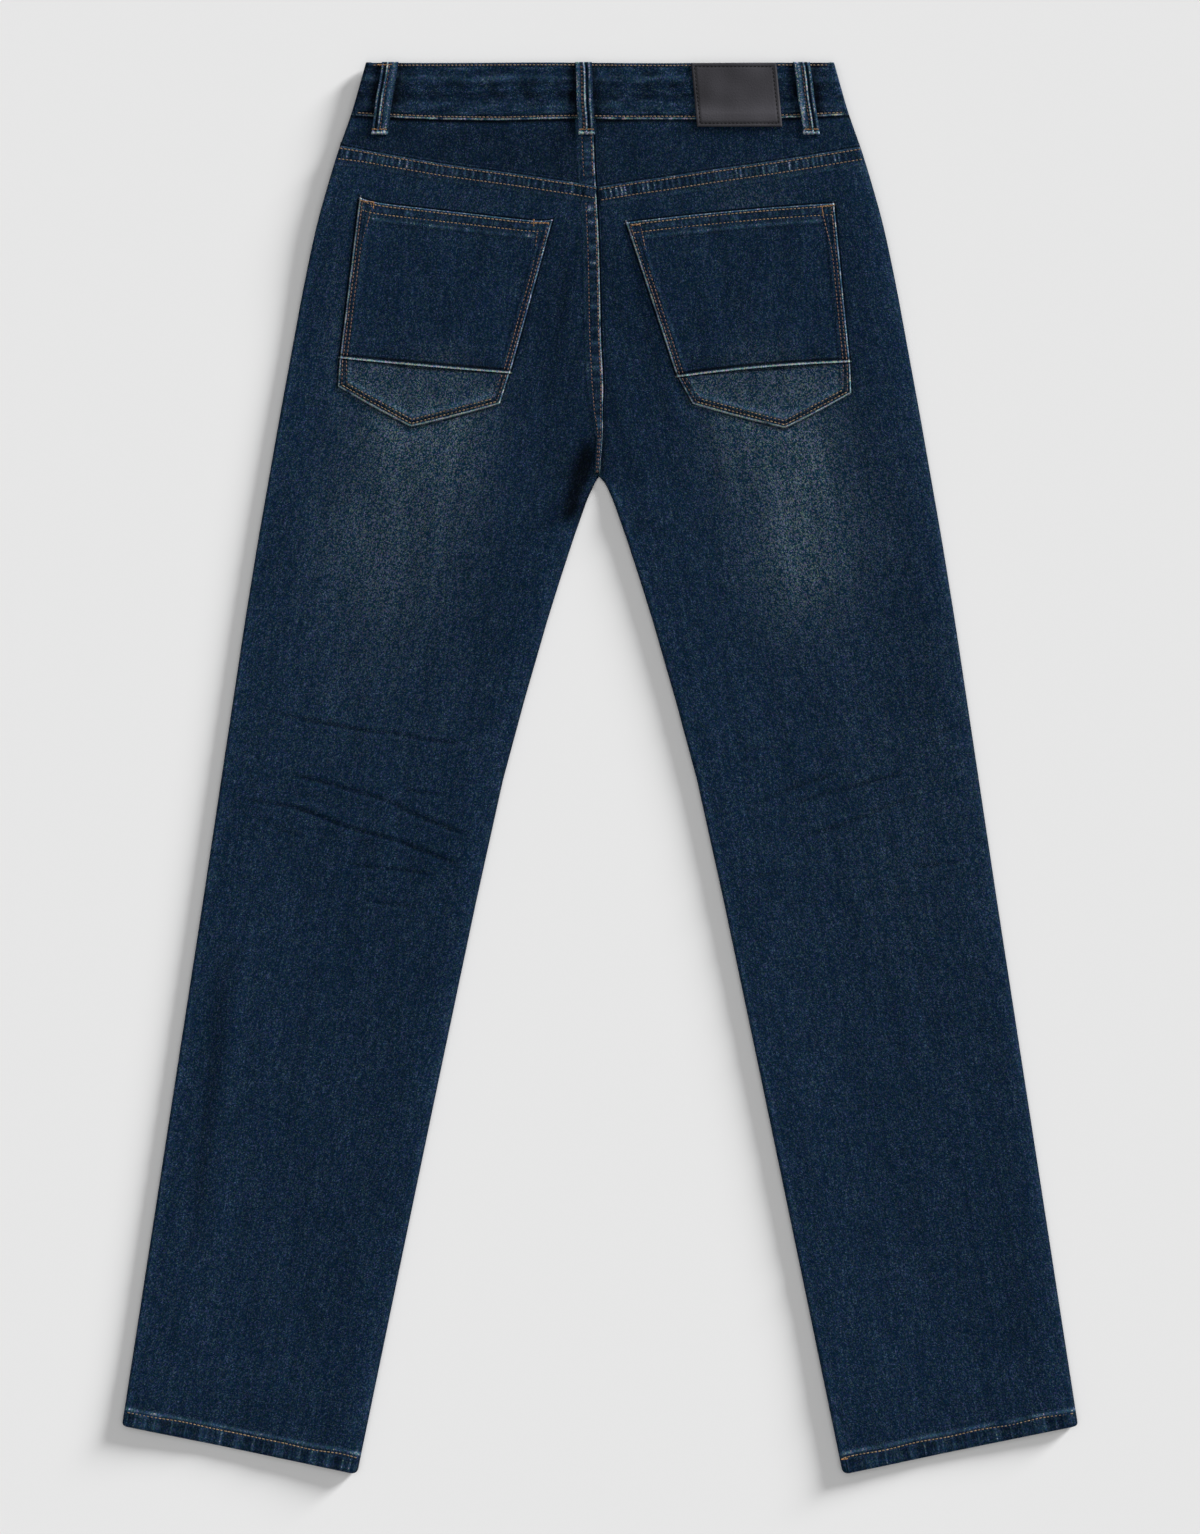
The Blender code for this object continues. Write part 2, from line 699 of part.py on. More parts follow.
def make_button():
    """The shank button, face down on the surface under the buttonhole end of the waistband."""
    middle_y = WAIST_Y - FRONT_DIP - BAND_HEIGHT / 2
    profile = (
        (BUTTON_RADIUS - BUTTON_BEVEL, 0.0),
        (BUTTON_RADIUS, BUTTON_BEVEL),
        (BUTTON_RADIUS, BUTTON_HEIGHT - BUTTON_BACK_BEVEL),
        (BUTTON_RADIUS - BUTTON_BACK_BEVEL, BUTTON_HEIGHT),
    )
    bm = bmesh.new()
    rings = []
    for radius, height in profile:
        ring = []
        for n in range(BUTTON_SIDES):
            turn = 2 * math.pi * n / BUTTON_SIDES
            ring.append(bm.verts.new((radius * math.cos(turn), radius * math.sin(turn), height)))
        rings.append(ring)
    for lower, upper in zip(rings, rings[1:]):
        for n in range(BUTTON_SIDES):
            following = (n + 1) % BUTTON_SIDES
            bm.faces.new((lower[n], lower[following], upper[following], upper[n]))
    bm.faces.new(rings[0])
    bm.faces.new(rings[-1])
    bmesh.ops.recalc_face_normals(bm, faces=bm.faces)
    button = finish_object("waist_button", bm, make_material("waist_button", BRASS, 0.4, 1.0))
    button.location = (0, middle_y, 0)
    return button


def main():
    for thing in list(bpy.data.objects):
        bpy.data.objects.remove(thing)
    make_backs()
    make_fronts()
    make_facings()
    make_waistband()
    make_loops()
    make_patch()
    make_back_pockets()
    make_button()


main()
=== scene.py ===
"""Looks of the straight leg jeans: shaped cloth, seams, stitching, creases, wear, light and floor.

Sizes are in mm until a mesh is made. A place on the garment is (x, drop): x runs from the wearer's left (-)
to the right (+), and drop is the distance below the back waist edge. half is the distance from the centre
line. A height function takes (x, drop) and gives the height of a surface there.
"""

import math
from collections import namedtuple

import bpy
import numpy as np
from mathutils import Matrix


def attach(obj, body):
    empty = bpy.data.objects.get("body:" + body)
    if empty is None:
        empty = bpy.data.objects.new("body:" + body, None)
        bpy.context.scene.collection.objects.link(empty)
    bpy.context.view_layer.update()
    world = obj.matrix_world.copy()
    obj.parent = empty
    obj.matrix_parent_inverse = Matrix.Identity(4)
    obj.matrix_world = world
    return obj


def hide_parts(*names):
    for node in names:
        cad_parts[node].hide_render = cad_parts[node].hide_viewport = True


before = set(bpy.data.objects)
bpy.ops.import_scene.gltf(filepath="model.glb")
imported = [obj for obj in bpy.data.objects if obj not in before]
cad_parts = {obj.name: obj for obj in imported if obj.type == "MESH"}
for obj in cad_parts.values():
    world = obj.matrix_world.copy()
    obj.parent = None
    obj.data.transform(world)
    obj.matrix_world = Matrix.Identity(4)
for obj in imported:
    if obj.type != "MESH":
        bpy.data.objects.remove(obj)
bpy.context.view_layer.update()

MM = 0.001
SIDES = ((-1, "left"), (1, "right"))

# The whole and its legs. HEM_REACH is how far the hem's soft edge goes past the traced one, and TOP_FALL how
# far the waist edge has sagged.
LENGTH = 1128.0
WAIST_Y = LENGTH / 2
CROTCH_DROP = 330.4
LEG_DROP = LENGTH - CROTCH_DROP
HEM_OUTER_DROP = 1090.4
HEM_TURN = 12.4
HEM_RISE = 0.28
HEM_REACH = 1.05
HEM_CORNER = 4.0
TOP_FALL = 0.85

# The stack of layers, as in the solid part: its gaps and lifts, and the drops over which each of them ends
WALL = 1.2
LAYER_GAP = 0.3
EDGE_STACK = 6.0
EDGE_ROLL = 3.0
EDGE_PUFF_REACH = 46.0
SEAM_STIFF_REACH = 22.0
PUCKER = 0.20
WAIST_LIFT = 3.2
LIFT_DROPS = (80.0, 230.0)
POCKET_LAYERS = 1.5
POCKET_LAYER_DROPS = (140.0, 240.0)
HEM_LAYERS = 1.7
HEM_STACK = 0.8
HEM_LAYER_DROPS = (HEM_OUTER_DROP - 75, HEM_OUTER_DROP - 15)

# Waistband, and the slope beside it that the loops and the patch lie on
BAND_HEIGHT = 42.4
BAND_WALL = 2.6
BAND_UNDER = 2.5
BAND_TOP = 8.6
BAND_SIDE_RISE = 0.4
BAND_END = 12.0
FRONT_DIP = 30.0
STEP_RUN = 9.0

# Scoops of the front pockets, and how far the facings go under them
SCOOP_START = 118.0
SCOOP_END_DROP = 135.0
SCOOP_FLAT_ANGLE = 86
SCOOP_ROWS = 24
FACING_TUCK = 12.0

# Steps of the grids: of the edge tables, of a panel's rolled edge in degrees, and from there inwards. Then
# how far a line's corners are rounded, how far a rolled edge stays open, and the angle of a sharp edge.
TABLE_STEP = 0.5
ROLL_TURNS = (0, 10, 22, 36, 52, 70, 90)
PANEL_NEAR = (4.6, 6.2, 8.4, 11.4, 15.0, 19.0)
SEAM_STEP = 0.8
CORNER_REACH = 12
SEAM_OPEN = 0.15
SHARP_ANGLE = 50

# Edge tables: drop, then half (x for the centre seam)
SIDE_EDGE = (
    (0, 187.2), (42.4, 198.8), (68, 208.4), (94.4, 216.4), (126.4, 225.6), (158.4, 232.8), (190.4, 239.2),
    (238.4, 248.0), (286.4, 256.8), (334.4, 265.2), (382.4, 273.6), (446.4, 284.0), (670.4, 317.6),
    (1090.4, 382.4), (1128, 388.2),
)
INNER_EDGE = (
    (0, 0), (330.4, 0.0), (336, 4.0), (342.4, 6.8), (350.4, 10.4), (382.4, 21.6), (414.4, 32.0),
    (446.4, 42.0), (510.4, 60.4), (574.4, 77.6), (670.4, 98.8), (830.4, 132.4), (990.4, 165.6), (1128, 194.0),
)
CENTRE_FOLD = (
    (42.4, -6.0), (60, -5.4), (85, -4.4), (110.4, -2.9), (135, -1.6), (155.2, -0.8), (220.8, 0.5), (260, 2.6),
    (274, 2.0), (296.8, 2.2), (329.6, -0.4),
)

# Where the halves meet: the centre seam's overlap at the back, and half the gap at the back and the front
CENTRE_SEAM_INSET = 1.5
CENTRE_GAP = 0.1
FRONT_GAP = 0.15

# Yoke lap edges (x, drop), from the right end to the left, and how far the cloth below and above goes under
YOKE_LAPS = {
    "left": (
        (-2.4, 100.4), (-16, 97.8), (-31, 95.7), (-53, 92.3), (-74, 89.3), (-124.3, 82.5), (-170, 74.6),
        (-208, 67.6),
    ),
    "right": (
        (208, 68.6), (179, 73.4), (160, 76.5), (136, 80.3), (110.4, 84.0), (93, 86.3), (71, 89.7), (50, 93.1),
        (28, 96.0), (-1.4, 100.8),
    ),
}
BACK_TUCK = 2.2
YOKE_TUCK = 1.9

# Fullness of the seat and of the back of the knee
Swell = namedtuple("Swell", "half drop across down height")
SWELLS = (Swell(125, 250, 70, 110, 2.2), Swell(188, 600, 75, 90, 1.3))

# Creases: depth, half width, and their points (x, drop)
Crease = namedtuple("Crease", "depth reach points")
CREASES = (
    Crease(0.357, 1.872, ((-267, 519), (-240, 526), (-212, 531))),
    Crease(0.527, 1.728, ((-232, 528), (-197, 534), (-175, 538), (-163, 537), (-145, 542), (-123, 545),
                          (-104, 546))),
    Crease(0.629, 1.8, ((-256, 569), (-228, 575), (-206, 581), (-185, 587), (-166, 593), (-154, 600),
                        (-130, 610), (-106, 619), (-94, 623))),
    Crease(0.442, 1.872, ((-286, 590), (-265, 594), (-246, 596), (-226, 603))),
    Crease(0.663, 1.8, ((-250, 595), (-228, 602), (-210, 610), (-188, 617), (-166, 622), (-148, 629),
                        (-135, 634), (-115, 642), (-105, 645))),
    Crease(0.425, 1.8, ((-205, 641), (-185, 645), (-166, 646), (-148, 649), (-130, 650))),
    Crease(0.306, 1.728, ((-187, 672), (-150, 676))),
    Crease(0.357, 1.728, ((-158, 583), (-140, 585), (-120, 588))),
    Crease(0.306, 2.16, ((-276, 602), (-262, 612), (-240, 620))),
    Crease(0.187, 2.448, ((-248, 585), (-215, 592))),
    Crease(0.187, 2.016, ((192, 520), (218, 517))),
    Crease(0.306, 2.016, ((260, 540), (293, 530))),
    Crease(0.306, 1.872, ((110, 552), (138, 549))),
    Crease(0.2125, 1.872, ((107, 561), (135, 557))),
    Crease(0.476, 2.016, ((110, 602), (142, 586), (171, 575), (194, 568))),
    Crease(0.476, 2.016, ((147, 596), (171, 589), (204, 580), (246, 568))),
    Crease(0.459, 2.16, ((157, 622), (190, 612), (218, 601), (255, 586))),
    Crease(0.34, 2.016, ((237, 646), (265, 643), (293, 640))),
    Crease(0.323, 1.872, ((114, 655), (147, 648))),
    Crease(0.221, 1.872, ((140, 677), (171, 670))),
    Crease(0.221, 2.88, ((7, 273), (17, 300), (28, 325), (45, 390))),
    Crease(0.255, 3.6, ((12, 352), (34, 372), (70, 384))),
    Crease(0.2975, 3.6, ((-10, 352), (-30, 366), (-62, 376))),
    Crease(0.2975, 6.48, ((-302, 710), (-310, 800), (-322, 934))),
    Crease(0.255, 4.32, ((-26, 150), (-34, 215), (-48, 290))),
    Crease(0.255, 4.32, ((26, 160), (38, 225), (56, 300))),
)
CREASE_TAPER = 0.17
CREASE_MARGIN = 8.4

# Faded places, and how much of it shows on the pockets and their toes
Fade = namedtuple("Fade", "x drop across down amount")
FADES = (
    Fade(-160.7, 290.4, 23.7, 40.4, 0.81),
    Fade(-117.0, 260.6, 27.7, 89.7, 0.98),
    Fade(-173.6, 380.5, 49.8, 66.0, 0.55),
    Fade(-199.6, 250.0, 20.2, 80.0, 0.18),
    Fade(-187.0, 490.0, 90.0, 65.0, 0.09),
    Fade(161.4, 312.8, 29.6, 46.5, 0.68),
    Fade(118.3, 233.7, 32.0, 91.4, 1.1),
    Fade(160.2, 397.8, 35.0, 54.0, 0.55),
    Fade(178.9, 361.6, 49.8, 65.8, 0.32),
    Fade(260.0, 560.0, 90.0, 160.0, 0.09),
)
FADE_ON_POCKETS = 0.55
TOE_FADE = 0.58
TOE_LOW_FADE = 0.20

# Lines down the back that are darker or paler: the crotch fold, painted with shade, then (points, half width,
# amount) on the legs: painted shade along a wrinkle below the seat and along the left calf's long crease,
# then two paler streaks
CROTCH_LINE = ((-5, 288), (-12, 318), (-19, 342), (-25, 362))
LEG_LINES = (
    (((12, 262), (26, 320), (34, 350), (48, 420)), 9, 0.05),
    (((-300, 710), (-304, 800), (-322, 934)), 10, 0.14),
    (((262, 560), (279, 645), (298, 850), (317, 990)), 14, -0.08),
    (((-282, 700), (-290, 800), (-302, 934)), 9, -0.07),
)
# Limits of the painted shade mask; below 0 it is painted light
SHADE_LIMITS = (-0.5, 0.85)

# Back pockets: corners (x, drop), how far the toe seam and the mouth bow up, and how square the mouth is
Pocket = namedtuple(
    "Pocket", "name side outer_top inner_top outer_toe inner_toe outer_foot inner_foot point bow mouth power"
)
POCKETS = (
    Pocket("left", -1, (-192.0, 108.8), (-37.8, 126.4), (-208.0, 237.2), (-72.0, 249.2), (-209.6, 259.6),
           (-80.2, 273.6), (-151.2, 291.9), bow=-0.4, mouth=-3.0, power=10),
    Pocket("right", 1, (187.0, 113.6), (20.8, 128.8), (199.8, 240.3), (61.8, 252.3), (200.9, 265.0),
           (74.2, 273.6), (148.0, 293.0), bow=1.8, mouth=1.4, power=2),
)

# Belt loops: their form, and x of the middle at the top and at the bottom end
LOOP_WIDTH = 13.3
LOOP_LENGTH = 58.6
LOOP_BULGE = 0.5
LOOP_THICKNESS = 1.5
BACK_LOOPS = {"left": (-167.6, -176.4), "centre": (-13.2, -10.8), "right": (160.8, 168.8)}
FRONT_LOOPS = {"left": (-98.0, -101.0), "right": (98.0, 101.0)}

# Leather patch: x of its two sides at the top and at the bottom, and its drops
PATCH_TOP = (72.8, 140.8)
PATCH_BOTTOM = (77.6, 145.6)
PATCH_DROPS = (0.8, 52.4)
PATCH_WALL = 1.2

# Stitches and their rows: distances from the fold, edge or band that a row follows
STITCH_PITCH = 3.1
STITCH_LENGTH = 2.40
STITCH_RADIUS = 0.46
STITCH_RINGS = np.array((-1.0, -0.82, -0.4, 0.0, 0.4, 0.82, 1.0))
STITCH_SIDES = 6
STITCH_END_SINK = 0.32
STITCH_FLATNESS = 0.8
FELL_ROWS = (1.7, 9.3)
BAND_TOP_ROW = 2.1
BAND_LOW_ROW = 2.4
PATCH_ROW = 2.8
LOOP_TACK_RISE = 4.0
FRONT_SINK = -0.12
LOOP_THREAD_RADIUS = 0.30
PATCH_THREAD_RADIUS = 0.4

# How far the stitches lie above the height that their row follows
BAND_LIFT = 0.14
HEM_LIFT = 0.22
PATCH_LIFT = 1.38
LOOP_LIFT = -0.08
YOKE_LIFTS = (0.98, 0.80)
CENTRE_LIFTS = (0.82, 0.62)

# Bar tacks
TACK_STEP = 0.55
TACK_WIDTH = 1.4
TACK_RADIUS = 0.33
LOOP_TACK_LIFT = -0.45


def ease(start, end, value):
    """0 before start, 1 after end, and a soft step between them."""
    share = np.clip((value - start) / (end - start), 0, 1)
    return share * share * (3 - 2 * share)


def fall(start, end, value):
    return 1 - ease(start, end, value)


def between(value, start, full, less, end):
    """1 between full and less, 0 before start and after end, and soft steps between them."""
    return ease(start, full, value) * fall(less, end, value)


def quarter_round(share):
    """Height of a quarter circle at a share of the way in from its edge."""
    return np.sqrt(np.clip(1 - (1 - np.clip(share, 0, 1)) ** 2, 0, 1))


def bell(distance, reach):
    return np.exp(-((distance / reach) ** 2))


def marks(distance, *places):
    """Sum of soft lines along a distance, each (place, half width, amount)."""
    return sum(amount * bell(distance - place, reach) for place, reach, amount in places)


def mix(a, b, share):
    return a + (b - a) * share


def pairs(first, second):
    """Points from two lines of numbers, or from a number and a line."""
    return np.stack(np.broadcast_arrays(first, second), axis=-1)


def as_places(x, drop):
    return np.broadcast_arrays(np.asarray(x, float), np.asarray(drop, float))


def places_of(skin):
    """x and drop of the points of a grid."""
    return skin[..., 0], WAIST_Y - skin[..., 1]


def soften(values, reach):
    """Evenly spaced values averaged over reach steps each way, with both ends kept."""
    kernel = np.hanning(2 * reach + 3)[1:-1]
    padded = np.pad(values, reach, mode="reflect", reflect_type="odd")
    return np.convolve(padded, kernel / kernel.sum(), mode="valid")


def soft_table(table, reach):
    drops, halves = np.array(table, float).T
    at = np.arange(0, LENGTH + 20, TABLE_STEP)
    return at, soften(np.interp(at, drops, halves), int(reach / TABLE_STEP))


SIDE_CURVE = soft_table(SIDE_EDGE, 24)
INNER_CURVE = soft_table(INNER_EDGE, 6)
FOLD_CURVE = soft_table(CENTRE_FOLD, 16)


def side_half(drop):
    return np.interp(drop, *SIDE_CURVE)


def inner_half(drop):
    return np.maximum(np.interp(drop, *INNER_CURVE), 0)


def fold_x(drop):
    return np.interp(drop, *FOLD_CURVE)


def soft_line(points, step):
    """A line through the points, with its corners rounded and even distances between its points."""
    fine = spaced(points, 1.0)
    reach = min(CORNER_REACH, max((len(fine) - 1) // 3, 1))
    fine = pairs(soften(fine[:, 0], reach), soften(fine[:, 1], reach))
    return spaced(fine, step)


def runs_of(points):
    steps = np.linalg.norm(np.diff(points, axis=0), axis=1)
    return np.concatenate([[0.0], np.cumsum(steps)])


def spaced(points, step):
    points = np.asarray(points, float)
    runs = runs_of(points)
    at = np.linspace(0, runs[-1], max(int(round(runs[-1] / step)), 1) + 1)
    return np.stack([np.interp(at, runs, points[:, axis]) for axis in range(points.shape[1])], axis=1)


def across_of(path):
    """Unit vectors along a path and to its left, where left of the way towards +x is up to the waist."""
    along = np.gradient(path, axis=0)
    along = along / np.linalg.norm(along, axis=1)[:, None]
    return along, pairs(along[:, 1], -along[:, 0])


def shifted(path, offset):
    return path + across_of(path)[1] * np.reshape(offset, (-1, 1))


def ripples(x, drop, size, seed, stretch=1.0):
    """Soft unevenness around 0, with bumps about size across and stretch times as long."""
    rng = np.random.default_rng(seed)
    total = 0.0
    waves = 10
    for _ in range(waves):
        turn = rng.uniform(0, math.pi)
        pace = math.pi / size * rng.uniform(0.6, 1.4)
        start = rng.uniform(0, 2 * math.pi)
        total = total + np.sin(pace * (x * math.cos(turn) + drop * math.sin(turn) / stretch) + start)
    return total / math.sqrt(waves)


def bars(run, spacing, seed, width):
    """Short uneven bumps along a seam, about spacing apart, each between 0 and 1."""
    rng = np.random.default_rng(seed)
    total = np.zeros_like(run)
    at = rng.uniform(0, spacing)
    while at < run[-1]:
        reach = width * rng.uniform(0.8, 1.7)
        total += rng.uniform(0.25, 1.0) * bell(run - at, reach)
        at += spacing * rng.uniform(0.6, 1.4)
    return np.minimum(total, 1.0)


def line_distance(x, drop, points):
    """Distance from a broken line, positive above it on the way to +x, and the nearest share of its length.

    Above is towards the waist.
    """
    points = np.asarray(points, float)
    runs = runs_of(points)
    best = np.full(np.shape(x), 1e9)
    share = np.zeros(np.shape(x))
    for start, end, run, length in zip(points, points[1:], runs, np.diff(runs)):
        along = (end - start) / length
        dx = x - start[0]
        dd = drop - start[1]
        at = np.clip(dx * along[0] + dd * along[1], 0, length)
        signed = np.sign(dx * along[1] - dd * along[0])
        away = np.hypot(dx - at * along[0], dd - at * along[1]) * np.where(signed == 0, 1, signed)
        nearer = np.abs(away) < np.abs(best)
        best = np.where(nearer, away, best)
        share = np.where(nearer, (run + at) / runs[-1], share)
    return best, share


def crease_fields(x, drop):
    """The creases: soft troughs with a low lip on either side, fading at their ends, and how deep each is."""
    height = np.zeros(np.shape(x))
    trough = np.zeros(np.shape(x))
    for crease in CREASES:
        margin = CREASE_MARGIN * crease.reach
        lows = np.min(crease.points, axis=0) - margin
        highs = np.max(crease.points, axis=0) + margin
        near = (x > lows[0]) & (x < highs[0]) & (drop > lows[1]) & (drop < highs[1])
        if not near.any():
            continue
        away, share = line_distance(x[near], drop[near], soft_line(crease.points, 8))
        wobble = 1 + 0.16 * np.sin(share * 7 + crease.points[0][0])
        depth = crease.depth * ease(0, CREASE_TAPER, share) * ease(0, CREASE_TAPER, 1 - share) * wobble
        lip_place, lip_reach = 2.3 * crease.reach, 1.5 * crease.reach
        low = bell(away, crease.reach)
        lips = 0.30 * bell(away - lip_place, lip_reach) + 0.22 * bell(away + lip_place, lip_reach)
        height[near] += depth * (lips - low)
        trough[near] += depth * low
    return height, trough


def front_under(drop):
    """Underside of the front: on the surface, but lifted off it by the loops and the button at the waist."""
    return WAIST_LIFT * fall(*LIFT_DROPS, drop)


def hem_share(drop):
    return ease(*HEM_LAYER_DROPS, drop)


def layer_gap(drop):
    """Room between the front and the back: pocket layers at the top, and the turned hems at the bottom."""
    return LAYER_GAP + POCKET_LAYERS * fall(*POCKET_LAYER_DROPS, drop) + HEM_LAYERS * hem_share(drop)


def back_height(x, drop):
    """Outer face of the back: the stack of layers, the swells of seat and knee, the creases and puckers."""
    x, drop = as_places(x, drop)
    half = np.abs(x)
    base = front_under(drop) + 2 * WALL + layer_gap(drop)
    from_side = side_half(drop) - half
    from_inseam = half - inner_half(drop)
    leg = ease(CROTCH_DROP, CROTCH_DROP + 30, drop)
    waist = fall(50, 120, drop)
    puff = EDGE_STACK + HEM_STACK * hem_share(drop) - 2 * WALL - layer_gap(drop)
    side_edge = bell(from_side, mix(EDGE_PUFF_REACH, SEAM_STIFF_REACH, waist)) * (1 - 0.6 * waist)
    edges = np.minimum(side_edge + leg * bell(from_inseam, EDGE_PUFF_REACH), 1)
    inside = (1 - bell(from_side, SEAM_STIFF_REACH)) * (1 - leg * bell(from_inseam, SEAM_STIFF_REACH))
    swell = 0.4 + 0.25 * ripples(x, drop, 42, 3, 1.8) + 0.12 * ripples(x, drop, 17, 4, 1.5)
    for place in SWELLS:
        nearness = bell(half - place.half, place.across) * bell(drop - place.drop, place.down)
        swell = swell + place.height * nearness
    pucker = PUCKER * bell(from_side - 5, 5) * ripples(x * 0.2, drop, 6, 5)
    pucker += PUCKER * leg * bell(from_inseam - 5, 5) * ripples(x * 0.2, drop, 6, 6)
    return base + puff * edges + inside * (swell + crease_fields(x, drop)[0]) + pucker


def front_height(x, drop):
    return front_under(np.broadcast_arrays(x, drop)[1])


def facing_height(x, drop):
    return front_height(x, drop) + WALL + LAYER_GAP


def front_dip(half):
    """How far the front of the waist lies below the back, at a distance from the centre line."""
    share = np.minimum(np.abs(half) / side_half(0), 1)
    return FRONT_DIP * np.cos(share * math.pi / 2) ** 2


def fade_at(x, drop):
    """How far the cloth is faded: below the pockets and down the back of each thigh, in faint streaks."""
    total = 0.0
    for spot in FADES:
        total = total + spot.amount * bell(x - spot.x, spot.across) * bell(drop - spot.drop, spot.down)
    streaks = 1 + 0.10 * ripples(x, drop, 6, 21, 9) + 0.07 * ripples(x, drop, 16, 22, 4)
    return np.clip(total * streaks, 0, 1.1)


def roll_drop(x, drop):
    """How far the cloth has turned down at the legs' edges, below its flat height."""
    half = np.abs(x)
    from_inner = np.where(drop > CROTCH_DROP + 4, half - inner_half(drop), EDGE_ROLL)
    close = np.minimum(side_half(drop) - half, from_inner) / EDGE_ROLL
    return (1 - quarter_round(close)) * (back_height(x, drop) - front_under(drop)) / 2


def back_skin(x, drop):
    """Outer face of the back with its rolled side edges."""
    return back_height(x, drop) - roll_drop(x, drop)


def lap_support(x, drop):
    """What the yoke seams lie on: the back, and the centre seam where they cross it."""
    from_fold = fold_x(drop) - x
    return back_skin(x, drop) + 0.75 * between(from_fold, -0.6, 0.8, 9, 11.5)


def to_points(x, drop, height):
    x, drop, height = np.broadcast_arrays(x, drop, height)
    return np.stack([x, WAIST_Y - drop, height], axis=-1)


def new_object(name, points, faces, material, masks=None):
    """A mesh object with its masks. The top of each mesh lies a little lower, as the waist edge sags."""
    mesh = bpy.data.meshes.new(name)
    points = np.array(points)
    points[:, 1] -= TOP_FALL * np.clip((points[:, 1] - WAIST_Y + BAND_HEIGHT) / BAND_HEIGHT, 0, 1)
    mesh.from_pydata((points * MM).tolist(), [], faces)
    mesh.shade_smooth()
    for mask, values in (masks or {}).items():
        attribute = mesh.attributes.new(mask, "FLOAT", "POINT")
        attribute.data.foreach_set("value", np.asarray(values, np.float32).ravel())
    mesh.materials.append(material)
    made = bpy.data.objects.new(name, mesh)
    bpy.context.scene.collection.objects.link(made)
    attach(made, "root")
    return made


def wall(name, skin, lining, material, slot="denim", **masks):
    """One closed wall of cloth between two grids of points of the same shape, closed all round its rim."""
    rows, columns = skin.shape[:2]
    count = rows * columns
    index = np.arange(count).reshape(rows, columns)
    corners = [index[:-1, :-1], index[:-1, 1:], index[1:, 1:], index[1:, :-1]]
    quads = np.stack(corners, axis=-1).reshape(-1, 4)
    ring = np.concatenate([index[0], index[1:, -1], index[-1, -2::-1], index[-2:0:-1, 0]])
    following = np.roll(ring, -1)
    rim = np.stack([following, ring, ring + count, following + count], axis=-1)
    faces = np.concatenate([quads, quads[:, ::-1] + count, rim])
    points = np.concatenate([skin.reshape(-1, 3), lining.reshape(-1, 3)])
    a, b, c = (points[quads[:, n]] for n in range(3))
    outward = a - points[quads[:, 0] + count]
    if (np.cross(b - a, c - a) * outward).sum() < 0:
        faces = faces[:, ::-1]
    both = {}
    # Masks: fade; wear, of worn cloth and painted highlights; and shade, painted shade that is painted light
    # where it is below 0.
    for mask in ("wear", "shade", "fade"):
        values = np.broadcast_to(masks.get(mask, 0.0), (rows, columns)).ravel()
        both[mask] = np.concatenate([values, values])
    made = new_object(name, points, faces.tolist(), material, both)
    made.data.set_sharp_from_angle(angle=math.radians(SHARP_ANGLE))
    return made


def make_sheet(name, skin, lining, material, size, rests_on, slot="denim", **masks):
    """A wall in place of the solid of its name. size, the width and length that it was cut to, is not used.
    """
    made = wall(name, skin, lining, material, slot, **masks)
    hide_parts(name)


def uneven_steps(stops):
    """Distances from stops of (distance, step), each step used until the next distance."""
    found = []
    for (start, step), (end, _) in zip(stops, stops[1:]):
        found.append(np.linspace(start, end, max(int(round((end - start) / step)), 1), endpoint=False))
    return np.concatenate(found + [[stops[-1][0]]])


def panel_grid(side, inner, outer, roll_inner, roll_outer, height, up, spacing=4.0):
    """Skin and lining of a panel from its rows' inner and outer ends (half, drop), rolled at its seams.

    roll_inner and roll_outer are 0 to 1 for each row. height gives the flat skin. up is 1 for the back.
    """
    near = np.array(PANEL_NEAR)
    turns = np.radians(ROLL_TURNS)
    width = np.linalg.norm(outer - inner, axis=1)[:, None]
    along = (outer - inner) / width
    edge = np.concatenate([EDGE_ROLL * (1 - np.cos(turns)), near])
    rise = np.concatenate([np.sin(turns), np.ones(len(near))])
    reach = np.concatenate([np.cos(turns), np.zeros(len(near))])
    middle = np.linspace(0, 1, max(int((width.mean() - 2 * near[-1]) / spacing), 3))[1:-1]
    inside = mix(near[-1], width - near[-1], middle[None, :])
    distance = np.concatenate([np.tile(edge, (len(inner), 1)), inside, width - edge[::-1]], axis=1)
    flat_part = np.ones(len(middle))
    rise = np.concatenate([rise, flat_part, rise[::-1]])
    reach_in = np.concatenate([reach, 0 * flat_part, 0 * edge])
    is_inner = np.arange(len(rise)) < len(rise) / 2
    roll = np.where(is_inner, roll_inner[:, None], roll_outer[:, None])
    tip = np.where(is_inner[None, :, None], inner[:, None, :], outer[:, None, :])
    inward = WALL * (reach_in - reach_in[::-1]) * roll
    skin_place = inner[:, None, :] + along[:, None, :] * distance[:, :, None]
    lining_place = skin_place + along[:, None, :] * inward[:, :, None]
    flat = height(side * skin_place[..., 0], skin_place[..., 1])
    seam = (back_height(side * tip[..., 0], tip[..., 1]) + front_under(tip[..., 1])) / 2
    top = flat - up * roll * (np.abs(seam - flat) - SEAM_OPEN) * (1 - rise)
    under = top - up * WALL * (1 - roll + roll * rise)
    skin = to_points(side * skin_place[..., 0], skin_place[..., 1], top)
    lining = to_points(side * lining_place[..., 0], lining_place[..., 1], under)
    return skin, lining


HEM_STEPS = ((0, 0.3), (1.2, 0.7), (4, 1.2), (9.6, 0.55), (13, 0.8), (16, 1.5), (22, 3), (28, 3))


def leg_rows(knee_step, far_step):
    """Shares of the way from the crotch to the hem: fine at the knee and at the hem."""
    stops = ((0, 3.0), (30, far_step), (175, knee_step), (355, far_step), (LEG_DROP - 28, 3.0))
    from_top = uneven_steps(stops)[1:] / LEG_DROP
    from_hem = 1 - uneven_steps(HEM_STEPS)[::-1] / LEG_DROP
    return np.concatenate([from_top[:-1], from_hem])


